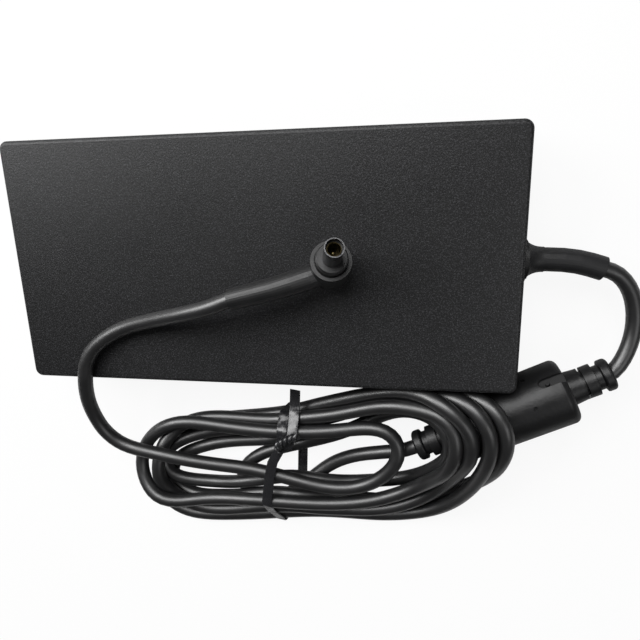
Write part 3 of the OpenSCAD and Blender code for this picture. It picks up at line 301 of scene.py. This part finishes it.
def keep_clear(line, free):
    """Keeps the turns out of the ferrite's moulding, the case's side and the floor."""
    radius = CORD_D / 2
    body, body_r = FERRITE_BODY
    relief, relief_r = FERRITE_RELIEF
    out = line - FERRITE_MID
    along = out @ FERRITE_DIR
    out -= along[:, None] * FERRITE_DIR
    away = np.linalg.norm(out, axis=1) + LEAST_REACH
    along = np.abs(along)
    edge = np.clip((along - body + FERRITE_SHOULDER) / FERRITE_SHOULDER, 0, 1)
    need = body_r + radius - FERRITE_SHOULDER * (1 - np.sqrt(1 - edge**2))
    need = np.where(along < body, need, relief_r + radius)
    low = free & (along < relief) & (away < need)
    line[low] += out[low] * (FERRITE_LIFT * (need[low] - away[low]) / away[low])[:, None]
    wall = free & (line[:, 1] > CASE_SIDE - radius) & (line[:, 2] < CASE_SIDE_TOP)
    line[wall, 1] = CASE_SIDE - radius
    floor = free & (line[:, 2] < radius)
    line[floor, 2] = radius


def settle_turns(line, free):
    """Lets the hank's turns bend smoothly, push each other apart and rest on what carries them."""
    line = line.copy()
    home = line.copy()
    for turn in range(SETTLE_ROUNDS):
        if turn % SEARCH_EVERY == 0:
            one, two = near_pairs(line)
        for _ in range(STRAIGHTEN_PASSES):
            straighten(line, free)
        line[free] += (home[free] - line[free]) * HOMING
        line[free, 2] -= SINK * (1 - turn / SETTLE_ROUNDS)
        push_apart(line, free, one, two)
        keep_clear(line, free)
    return line


def nearest(line, point):
    """The number of the line's point that lies nearest to a place."""
    return int(np.argmin(np.linalg.norm(line - np.array(point), axis=1)))


def cord_line():
    """The whole cord's centre line in millimetres, from the gland to the plug."""
    bore = [tuple(FERRITE_MID + FERRITE_DIR * s) for s in FERRITE_BORE]
    hank = TURN_1 + TURN_2 + TURN_3 + TURN_4 + TURN_5 + TURN_6
    line = smooth_line(GLAND_TURN + bore + FERRITE_LEAD + hank + PLUG_LEAD, CORD_D / 2)
    free = np.zeros(len(line), bool)
    free[nearest(line, FREE_FROM) : nearest(line, FREE_TO)] = True
    return settle_turns(line, free)


def turned(a, b, c):
    """Above zero where the way from a over b to c turns left."""
    return (b[0] - a[0]) * (c[1] - a[1]) - (b[1] - a[1]) * (c[0] - a[0])


def taut_outline(dots):
    """The convex outline round the dots."""
    dots = sorted(map(tuple, dots))
    hull = []
    for run in (dots, dots[::-1]):
        part = []
        for dot in run:
            while len(part) > 1 and turned(part[-2], part[-1], dot) <= 0:
                part.pop()
            part.append(dot)
        hull += part[:-1]
    return np.array(hull)


def tie_outline(line):
    """The tie's way round the hank in its own plane, in millimetres: towards the case, and up."""
    along = np.array([math.cos(TIE_TURN), math.sin(TIE_TURN), 0.0])
    inward = np.array([-math.sin(TIE_TURN), math.cos(TIE_TURN), 0.0])
    side = (line - TIE_MID) @ along
    reach = CORD_D / 2 + TIE_THICK / 2
    dots = []
    for i in np.flatnonzero(side[:-1] * side[1:] < 0):
        spot = line[i] + (line[i + 1] - line[i]) * side[i] / (side[i] - side[i + 1])
        middle = np.array([(spot - TIE_MID) @ inward, spot[2]])
        if abs(middle[0]) < TIE_REACH:
            for turn in np.linspace(0, 2 * math.pi, TIE_DOTS, endpoint=False):
                dots.append(middle + reach * np.array([math.cos(turn), math.sin(turn)]))
    hull = taut_outline(dots)
    hull[:, 1] = np.maximum(hull[:, 1], TIE_THICK / 2)
    return hull


def even_ring(points, step):
    """A closed outline cut into even steps."""
    ring = np.vstack([points, points[:1]])
    run, at = even_places(ring, step, closed=True)
    return np.stack([np.interp(at, run, ring[:, k]) for k in range(2)], 1)


def curve_object(name, way, depth, steps, flat=0.0, closed=False):
    """A curve object along a way, round or drawn out sideways to a flat strip."""
    data = bpy.data.curves.new(name, "CURVE")
    data.dimensions = "2D" if flat else "3D"
    if flat:
        data.fill_mode = "NONE"
        data.extrude = flat
    data.bevel_depth = depth
    data.bevel_resolution = steps
    data.use_fill_caps = not closed
    spline = data.splines.new("POLY")
    spline.points.add(len(way) - 1)
    spline.points.foreach_set("co", np.c_[way, np.ones(len(way))].ravel())
    spline.use_cyclic_u = closed
    spline.use_smooth = True
    return bpy.data.objects.new(name, data)


def curve_mesh(source):
    """The mesh of a curve object, which is then removed."""
    mesh = bpy.data.meshes.new_from_object(source)
    data = source.data
    bpy.data.objects.remove(source)
    bpy.data.curves.remove(data)
    return mesh


def strip_mesh(name, way, closed, drift):
    """A strip of the tie along a way in its plane, moved sideways by drift at each place."""
    way = np.c_[way, np.zeros(len(way))]
    strip = curve_object(name, way, TIE_THICK / 2, steps=2, flat=TIE_WIDTH / 2, closed=closed)
    mesh = curve_mesh(strip)
    # The curve is drawn lying down, and this stands it up in the tie's plane.
    mesh.transform(Matrix(((0, 0, 1, 0), (1, 0, 0, 0), (0, 1, 0, 0), (0, 0, 0, 1))))
    for vert in mesh.vertices:
        vert.co.x += drift(vert.co)
    return mesh


def twist_mesh(name, turn):
    """One of the tie's two ends, twisted round the other along the knot."""
    core = smooth_line(TIE_KNOT, TIE_KNOT_STEP)
    way = np.gradient(core, axis=0)
    way /= np.linalg.norm(way, axis=1)[:, None]
    side = np.cross(way, (0, 0, 1.0))
    side /= np.linalg.norm(side, axis=1)[:, None]
    up = np.cross(side, way)
    angle = (turn + np.arange(len(core)) * TIE_TWIST)[:, None]
    core = core + TIE_TWIST_R * (np.cos(angle) * side + np.sin(angle) * up)
    return curve_mesh(curve_object(name, core, TIE_TWIST_R, steps=3))


def tie_drift(spot):
    """How far the tie wanders to the side of its plane, at a place on it."""
    over = np.interp(spot.y, TIE_OVER[0], TIE_OVER[1])
    under = np.interp(spot.y, TIE_UNDER[0], TIE_UNDER[1])
    share = min(1, max(0, (spot.z - TIE_SIDE_LOW) / TIE_SIDE_RISE))
    return under + (over - under) * share


def tail_drift(spot):
    """How far the tie's tail wanders to the side of its plane, at a place on it."""
    return np.interp(spot.y, TIE_TAIL_DRIFT[0], TIE_TAIL_DRIFT[1])


def tie_tail(outline):
    """The tail's way in the tie's plane, from the upper side of its outline."""
    top = outline[outline[:, 1] > TIE_UPPER_SIDE]
    start = np.interp(TIE_TAIL_FROM, *top[np.argsort(top[:, 0])].T)
    return smooth_line([(y, start + lift, 0) for y, lift in TIE_TAIL_LIFT], TIE_STEP)[:, :2]


# ---------------------------------------------------------------- finishes

# The Mix node's sockets for its two colours, and for the colour that comes out.
MIX_DARK = 6
MIX_LIGHT = 7
MIX_OUT = 2
# The part of a noise that the roughness follows.
ROUGH_SPAN = (0.3, 0.7)


class Finish:
    """A node material on Object coordinates, with short words for the nodes that it needs."""

    def __init__(self, name, colour, rough, metal=0.0, specular=0.5):
        self.material = bpy.data.materials.new(name)
        self.material.use_nodes = True
        self.tree = self.material.node_tree
        self.shader = self.tree.nodes["Principled BSDF"]
        self.shader.inputs["Base Color"].default_value = (*colour, 1)
        self.shader.inputs["Roughness"].default_value = rough
        self.shader.inputs["Metallic"].default_value = metal
        self.shader.inputs["Specular IOR Level"].default_value = specular
        self.place = self.add("ShaderNodeTexCoord").outputs["Object"]
        self.height = None

    def add(self, kind, **facts):
        """A new node with its settings."""
        node = self.tree.nodes.new(kind)
        for key, value in facts.items():
            setattr(node, key, value)
        return node

    def link(self, out, into):
        """Leads one socket into another."""
        self.tree.links.new(out, into)

    def noise(self, scale, detail=3.0, rough=0.5, stretch=(1, 1, 1)):
        """Noise over the piece, from 0 to 1."""
        mapping = self.add("ShaderNodeMapping")
        mapping.inputs["Scale"].default_value = stretch
        self.link(self.place, mapping.inputs["Vector"])
        node = self.add("ShaderNodeTexNoise")
        node.inputs["Scale"].default_value = scale
        node.inputs["Detail"].default_value = detail
        node.inputs["Roughness"].default_value = rough
        self.link(mapping.outputs["Vector"], node.inputs["Vector"])
        return node.outputs["Fac"]

    def spread(self, value, low, high, to_low, to_high):
        """The stretch of a value between low and high, laid out between two others."""
        node = self.add("ShaderNodeMapRange")
        node.inputs["From Min"].default_value = low
        node.inputs["From Max"].default_value = high
        node.inputs["To Min"].default_value = to_low
        node.inputs["To Max"].default_value = to_high
        self.link(value, node.inputs["Value"])
        return node.outputs["Result"]

    def colour_by(self, value, dark, light):
        """Lets the colour go from dark to light with a value."""
        node = self.add("ShaderNodeMix", data_type="RGBA")
        node.inputs[MIX_DARK].default_value = (*dark, 1)
        node.inputs[MIX_LIGHT].default_value = (*light, 1)
        self.link(value, node.inputs["Factor"])
        self.link(node.outputs[MIX_OUT], self.shader.inputs["Base Color"])

    def rough_by(self, value, low, high):
        """Lets the roughness go from low to high with a noise."""
        self.link(self.spread(value, *ROUGH_SPAN, low, high), self.shader.inputs["Roughness"])

    def coat(self, weight, rough):
        """A clear layer on top."""
        self.shader.inputs["Coat Weight"].default_value = weight
        self.shader.inputs["Coat Roughness"].default_value = rough

    def bump(self, value, strength, depth):
        """Raises the surface with a value, on top of what is raised already."""
        node = self.add("ShaderNodeBump")
        node.inputs["Strength"].default_value = strength
        node.inputs["Distance"].default_value = depth
        self.link(value, node.inputs["Height"])
        if self.height is not None:
            self.link(self.height, node.inputs["Normal"])
        self.height = node.outputs["Normal"]
        self.link(self.height, self.shader.inputs["Normal"])


def shade(colour, factor):
    """A colour made darker or lighter."""
    return tuple(min(1.0, c * factor) for c in colour)


def case_finish(settings):
    """The case's plastic: black with fine pale speckles and a moulded grain."""
    colour = tuple(settings.colour)
    finish = Finish("fine_grained_case_plastic", colour, settings.roughness)
    speckle = finish.noise(2300, detail=2, rough=0.6)
    cloud = finish.noise(9)
    both = finish.add("ShaderNodeMath", operation="ADD")
    finish.link(finish.spread(speckle, low=0.5, high=0.72, to_low=0, to_high=0.9), both.inputs[0])
    finish.link(finish.spread(cloud, low=0.3, high=0.7, to_low=0, to_high=0.1), both.inputs[1])
    finish.colour_by(both.outputs[0], dark=shade(colour, 0.5), light=shade(colour, 6))
    finish.rough_by(cloud, low=settings.roughness - 0.04, high=settings.roughness + 0.04)
    finish.bump(finish.noise(1900, detail=2, rough=0.6), strength=0.6, depth=settings.grain)
    return finish.material


def cord_finish(settings):
    """The cord's jacket: black satin under a soft sheen."""
    colour = tuple(settings.colour)
    finish = Finish("satin_cord_jacket", colour, rough=0.4, specular=1.0)
    finish.colour_by(finish.noise(60), dark=shade(colour, 0.85), light=shade(colour, 1.15))
    finish.rough_by(finish.noise(240), low=0.37, high=0.45)
    finish.coat(weight=0.7, rough=0.43)
    finish.bump(finish.noise(420, detail=2), strength=0.05, depth=0.0002)
    return finish.material


def tie_finish():
    """The tie's plastic: glossy, with creases."""
    finish = Finish("tie_plastic", (0.016, 0.016, 0.018), rough=0.14, specular=1.0)
    finish.rough_by(finish.noise(900, detail=2), low=0.2, high=0.34)
    finish.bump(finish.noise(170, detail=2, rough=0.4), strength=0.6, depth=0.0014)
    return finish.material


def moulded_finish(name, colour, rough, grain, coat=0.0):
    """A moulded plastic or another dull surface, with a grain of its own depth."""
    finish = Finish(name, colour, rough)
    finish.coat(coat, rough=0.5)
    finish.colour_by(finish.noise(70), dark=shade(colour, 0.86), light=shade(colour, 1.14))
    finish.rough_by(finish.noise(160), low=rough - 0.05, high=rough + 0.06)
    finish.bump(finish.noise(900, rough=0.6), strength=0.3, depth=grain)
    return finish.material


def metal_finish(name, colour, rough, stretch=(1, 1, 1)):
    """Metal or plating, brushed where the noise is stretched."""
    finish = Finish(name, colour, rough, metal=1.0)
    finish.colour_by(finish.noise(90), dark=shade(colour, 0.9), light=shade(colour, 1.08))
    finish.rough_by(finish.noise(500, stretch=stretch), low=rough - 0.05, high=rough + 0.08)
    finish.bump(finish.noise(1200, detail=2, stretch=stretch), strength=0.08, depth=0.00005)
    return finish.material


# The mouldings: node, name of the finish, colour, roughness, depth of the grain and share of the coat.
MOULDINGS = (
    ("inlet_housing", "inlet_moulding", (0.02, 0.02, 0.021), 0.42, 0.00004, 0.0),
    ("cord_gland", "gland_moulding", (0.014, 0.014, 0.015), 0.46, 0.00012, 0.0),
    ("ferrite_cover", "ferrite_moulding", (0.006, 0.006, 0.0065), 0.42, 0.0002, 0.0),
    ("plug_boot", "plug_moulding", (0.003, 0.003, 0.0034), 0.44, 0.00004, 0.7),
    ("plug_insulator", "plug_insulator", (0.02, 0.02, 0.021), 0.45, 0.00004, 0.0),
)
# The plug's metal: node, name of the finish, colour and roughness.
PLUG_METALS = (
    ("plug_barrel", "dark_plated_barrel", (0.17, 0.17, 0.175), 0.32),
    # The contact is gold plated, but it gets a near-black olive colour: painted shade of the deep bore it
    # sits in.
    ("plug_contact", "shaded_gold", (0.035, 0.028, 0.014), 0.3),
    ("plug_centre_pin", "gold_plate", (1.0, 0.74, 0.34), 0.3),
)
TINNED = ["inlet_line_blade", "inlet_neutral_blade", "inlet_earth_blade", "heatsink_screws"]
TINNED_COLOUR = (0.75, 0.74, 0.7)
# The parts inside the case, under the slot that gives their colour.
INSIDE_PLAIN = {
    "wire_insulation": ["inlet_wires", "output_wires"],
    "board": ["main_board", "control_board"],
    "sheet": ["insulation_sheet"],
    "pad": ["thermal_pads"],
    "fuse_body": ["fuse"],
    "blue_disc": ["varistor", "y_capacitors"],
    "yellow_case": ["x_capacitor"],
    "red_case": ["resonant_capacitor"],
    "green_core": ["line_choke_core"],
    "yellow_core": ["output_choke_core"],
    "black_package": [
        "bridge_rectifier", "primary_transistors", "secondary_rectifiers", "optocouplers",
    ],
    "ferrite": ["ferrite_core", "boost_choke_core", "transformer_core"],
    "can_sleeve": ["bulk_capacitors"],
}
INSIDE_METALS = {
    "shield_metal": ["lower_shield", "upper_shield", "primary_heatsink", "secondary_heatsink"],
    "copper_wire": ["line_choke_windings", "output_choke_coil"],
    "wound_coil": ["boost_choke_coil", "transformer_coil"],
    "can_metal": ["output_capacitors"],
}


def dress(names, material):
    """Gives the CAD nodes one finish."""
    for name in names:
        node = frame["nodes"][name]
        node.data.materials.clear()
        node.data.materials.append(material)


def keep_piece(piece, material):
    """Sets a new piece on the part, with its finish."""
    piece.data.materials.clear()
    piece.data.materials.append(material)
    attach(piece, "root")


# ---------------------------------------------------------------- sizes and colours a user may change


class AdapterCordSettings(bpy.types.PropertyGroup):
    colour: bpy.props.FloatVectorProperty(
        name="Jacket colour", description="Colour of the cord's jacket", subtype="COLOR", size=3,
        default=(0.007, 0.007, 0.0075), min=0, max=1,
    )
    sides: bpy.props.IntProperty(
        name="Roundness", description="Bevel steps in a quarter of the cord's round",
        default=6, min=3, max=10,
    )


class AdapterCaseSettings(bpy.types.PropertyGroup):
    colour: bpy.props.FloatVectorProperty(
        name="Case colour", description="Colour of the case's plastic", subtype="COLOR", size=3,
        default=(0.009, 0.0091, 0.0098), min=0, max=1,
    )
    roughness: bpy.props.FloatProperty(
        name="Roughness", description="How matte the case is", subtype="FACTOR",
        default=0.45, min=0.1, max=1,
    )
    grain: bpy.props.FloatProperty(
        name="Grain depth", description="Depth of the moulded grain", unit="LENGTH", precision=5,
        default=0.00012, min=0, max=0.001,
    )


class AdapterStageSettings(bpy.types.PropertyGroup):
    key_power: bpy.props.FloatProperty(
        name="Main lamp", description="Power of the large lamp overhead, in watts",
        default=6.6, min=0, max=50,
    )
    fill_power: bpy.props.FloatProperty(
        name="Fill lamp", description="Power of the lamp at the left, in watts",
        default=6.5, min=0, max=50,
    )
    front_power: bpy.props.FloatProperty(
        name="Front lamp", description="Power of the lamp at the right, towards the front, in watts",
        default=0.8, min=0, max=50,
    )
    sky: bpy.props.FloatProperty(
        name="Room light", description="Strength of the even light all round",
        default=0.05, min=0, max=2,
    )


# ---------------------------------------------------------------- the pieces


class ADAPTER_OT_tie(bpy.types.Operator):
    """Winds the wire tie round the hank, with its twisted knot and free tail"""

    bl_idname = "adapter.tie"
    bl_label = "Wire tie"

    def execute(self, context):
        outline = tie_outline(cord_line())
        meshes = [
            strip_mesh("loop", even_ring(outline, TIE_STEP), True, tie_drift),
            strip_mesh("tail", tie_tail(outline), False, tail_drift),
            twist_mesh("end_one", 0),
            twist_mesh("end_two", math.pi),
        ]
        shape = bmesh.new()
        for mesh in meshes:
            shape.from_mesh(mesh)
            bpy.data.meshes.remove(mesh)
        turn = Matrix.Rotation(TIE_TURN, 4, "Z")
        place = Matrix.Scale(1 / MM_PER_M, 4) @ Matrix.Translation(Vector(TIE_MID)) @ turn
        bmesh.ops.transform(shape, verts=shape.verts, matrix=place)
        bmesh.ops.recalc_face_normals(shape, faces=shape.faces)
        mesh = bpy.data.meshes.new("wire_tie")
        shape.to_mesh(mesh)
        shape.free()
        mesh.shade_smooth()
        tie = bpy.data.objects.new("wire_tie", mesh)
        context.scene.collection.objects.link(tie)
        keep_piece(tie, tie_finish())
        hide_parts("cable_tie")
        return {"FINISHED"}


class ADAPTER_OT_cord(bpy.types.Operator):
    """Lays the cord from the gland through the ferrite and the hank to the plug"""

    bl_idname = "adapter.cord"
    bl_label = "Cord"

    def execute(self, context):
        settings = context.scene.adapter_cord
        line = cord_line() / MM_PER_M
        cord = curve_object("cord", line, CORD_D / 2 / MM_PER_M, settings.sides)
        context.scene.collection.objects.link(cord)
        keep_piece(cord, cord_finish(settings))
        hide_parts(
            "cord_gland_run", "cord_core_run", "cord_ferrite_run", "cord_hank", "cord_plug_run",
        )
        return {"FINISHED"}


class ADAPTER_OT_case(bpy.types.Operator):
    """Finishes the case's two covers in grained plastic"""

    bl_idname = "adapter.case"
    bl_label = "Case"

    def execute(self, context):
        dress(["top_cover", "bottom_cover"], case_finish(context.scene.adapter_case))
        return {"FINISHED"}


class ADAPTER_OT_fittings(bpy.types.Operator):
    """Finishes the gland, ferrite, plug, inlet and screws"""

    bl_idname = "adapter.fittings"
    bl_label = "Fittings"

    def execute(self, context):
        for node, *look in MOULDINGS:
            dress([node], moulded_finish(*look))
        for node, *look in PLUG_METALS:
            dress([node], metal_finish(*look))
        dress(TINNED, metal_finish("tinned_metal", TINNED_COLOUR, rough=0.3, stretch=(1, 12, 12)))
        return {"FINISHED"}


class ADAPTER_OT_inside(bpy.types.Operator):
    """Finishes the circuit board's parts inside the case"""

    bl_idname = "adapter.inside"
    bl_label = "Inside"

    def execute(self, context):
        for slot, names in INSIDE_PLAIN.items():
            look = moulded_finish("inside_" + slot, SLOT_COLOURS[slot], rough=0.45, grain=0.00005)
            dress(names, look)
        for slot, names in INSIDE_METALS.items():
            look = metal_finish("inside_" + slot, SLOT_COLOURS[slot], rough=0.35, stretch=(1, 1, 8))
            dress(names, look)
        return {"FINISHED"}


# ---------------------------------------------------------------- the stage, in metres

FLOOR_HALF = 3.0
FLOOR_HEIGHT = -0.00005
FLOOR_COLOUR = (0.62, 0.62, 0.62, 1)
# The camera sees the floor mostly by its glow, which lights nothing else.
FLOOR_GLOW = 1.07
FLOOR_GLOW_SHARE = 0.85
# How bright the camera sees the room behind the floor.
ROOM_SEEN = 0.92
# The lamps: name, setting that holds the power, size, place, and the place that it points at.
LAMPS = (
    ("main_lamp", "key_power", 0.6, (-0.1, 0.6, 0.8), (0.02, -0.03, 0)),
    ("fill_lamp", "fill_power", 0.5, (-0.7, 0.4, 0.6), (-0.05, 0, 0)),
    ("front_lamp", "front_power", 0.4, (0.5, -0.2, 0.7), (0.05, -0.06, 0)),
)
CAMERA_PLACE = (0.0554, 0.02688, 0.20177)
CAMERA_RIGHT = (0.9849, -0.0257, -0.1711)
CAMERA_BACK = (0.1721, 0.2482, 0.9533)
CAMERA_CLIP = (0.005, 20)
# These two are in millimetres.
CAMERA_SENSOR = 36.0
CAMERA_LENS = 30.325


def floor_finish():
    """The floor's material: matte, with a glow that only the camera sees."""
    material = bpy.data.materials.new("pale_floor")
    material.use_nodes = True
    tree = material.node_tree
    tree.nodes.clear()
    rays = tree.nodes.new("ShaderNodeLightPath")
    share = tree.nodes.new("ShaderNodeMath")
    share.operation = "MULTIPLY"
    share.inputs[1].default_value = FLOOR_GLOW_SHARE
    tree.links.new(rays.outputs["Is Camera Ray"], share.inputs[0])
    matte = tree.nodes.new("ShaderNodeBsdfDiffuse")
    matte.inputs["Color"].default_value = FLOOR_COLOUR
    glow = tree.nodes.new("ShaderNodeEmission")
    glow.inputs["Strength"].default_value = FLOOR_GLOW
    mix = tree.nodes.new("ShaderNodeMixShader")
    out = tree.nodes.new("ShaderNodeOutputMaterial")
    tree.links.new(share.outputs[0], mix.inputs[0])
    tree.links.new(matte.outputs[0], mix.inputs[1])
    tree.links.new(glow.outputs[0], mix.inputs[2])
    tree.links.new(mix.outputs[0], out.inputs["Surface"])
    return material


def lay_floor(scene):
    """The floor that the part lies on."""
    mesh = bpy.data.meshes.new("floor")
    shape = bmesh.new()
    bmesh.ops.create_grid(shape, x_segments=1, y_segments=1, size=FLOOR_HALF)
    bmesh.ops.translate(shape, verts=shape.verts, vec=(0, 0, FLOOR_HEIGHT))
    shape.to_mesh(mesh)
    shape.free()
    floor = bpy.data.objects.new("floor", mesh)
    scene.collection.objects.link(floor)
    mesh.materials.append(floor_finish())


def hang_lamp(scene, name, power, size, spot, aim):
    """A square lamp that points at a place."""
    data = bpy.data.lights.new(name, "AREA")
    data.energy = power
    data.size = size
    lamp = bpy.data.objects.new(name, data)
    lamp.location = spot
    way = Vector(aim) - Vector(spot)
    lamp.rotation_euler = way.to_track_quat("-Z", "Y").to_euler()
    scene.collection.objects.link(lamp)


def light_room(scene, strength):
    """The even light all round, which the camera sees brighter than it shines."""
    world = bpy.data.worlds.new("room")
    world.use_nodes = True
    tree = world.node_tree
    back = tree.nodes["Background"]
    back.inputs["Color"].default_value = (1, 1, 1, 1)
    rays = tree.nodes.new("ShaderNodeLightPath")
    level = tree.nodes.new("ShaderNodeMapRange")
    level.inputs["To Min"].default_value = strength
    level.inputs["To Max"].default_value = ROOM_SEEN
    tree.links.new(rays.outputs["Is Camera Ray"], level.inputs["Value"])
    tree.links.new(level.outputs["Result"], back.inputs["Strength"])
    scene.world = world


def set_camera(scene):
    """The camera above the part."""
    data = bpy.data.cameras.new("camera")
    data.sensor_width = CAMERA_SENSOR
    data.lens = CAMERA_LENS
    data.clip_start, data.clip_end = CAMERA_CLIP
    camera = bpy.data.objects.new("camera", data)
    back = Vector(CAMERA_BACK).normalized()
    up = back.cross(Vector(CAMERA_RIGHT).normalized()).normalized()
    right = up.cross(back)
    turn = Matrix((right, up, back)).transposed().to_4x4()
    camera.matrix_world = Matrix.Translation(CAMERA_PLACE) @ turn
    scene.collection.objects.link(camera)
    scene.camera = camera


class ADAPTER_OT_stage(bpy.types.Operator):
    """Sets the pale floor, the soft lamps and the camera"""

    bl_idname = "adapter.stage"
    bl_label = "Stage"

    def execute(self, context):
        scene = context.scene
        settings = scene.adapter_stage
        lay_floor(scene)
        for name, power, size, spot, aim in LAMPS:
            hang_lamp(scene, name, getattr(settings, power), size, spot, aim)
        light_room(scene, settings.sky)
        set_camera(scene)
        scene.view_settings.view_transform = "Standard"
        return {"FINISHED"}


# ---------------------------------------------------------------- the add-on

SETTINGS = {
    "adapter_cord": AdapterCordSettings,
    "adapter_case": AdapterCaseSettings,
    "adapter_stage": AdapterStageSettings,
}
OPERATORS = (
    ADAPTER_OT_stage, ADAPTER_OT_tie, ADAPTER_OT_cord, ADAPTER_OT_case, ADAPTER_OT_fittings,
    ADAPTER_OT_inside,
)


class ADAPTER_PT_panel(bpy.types.Panel):
    """Lists the adapter's pieces and settings"""

    bl_label = "Adapter"
    bl_idname = "ADAPTER_PT_panel"
    bl_space_type = "VIEW_3D"
    bl_region_type = "UI"
    bl_category = "Adapter"

    def draw(self, context):
        for name in SETTINGS:
            group = getattr(context.scene, name)
            box = self.layout.box()
            for key in group.bl_rna.properties.keys():
                if key not in {"rna_type", "name"}:
                    box.prop(group, key)
        for step in OPERATORS:
            self.layout.operator(step.bl_idname)


CLASSES = (*SETTINGS.values(), *OPERATORS, ADAPTER_PT_panel)


def register():
    for item in CLASSES:
        bpy.utils.register_class(item)
    for name, group in SETTINGS.items():
        setattr(bpy.types.Scene, name, bpy.props.PointerProperty(type=group))


def unregister():
    for name in SETTINGS:
        delattr(bpy.types.Scene, name)
    for item in reversed(CLASSES):
        bpy.utils.unregister_class(item)


def main():
    register()
    bpy.ops.adapter.stage()
    bpy.ops.adapter.tie()
    bpy.ops.adapter.cord()
    bpy.ops.adapter.case()
    bpy.ops.adapter.fittings()
    bpy.ops.adapter.inside()


if __name__ == "__main__":
    main()
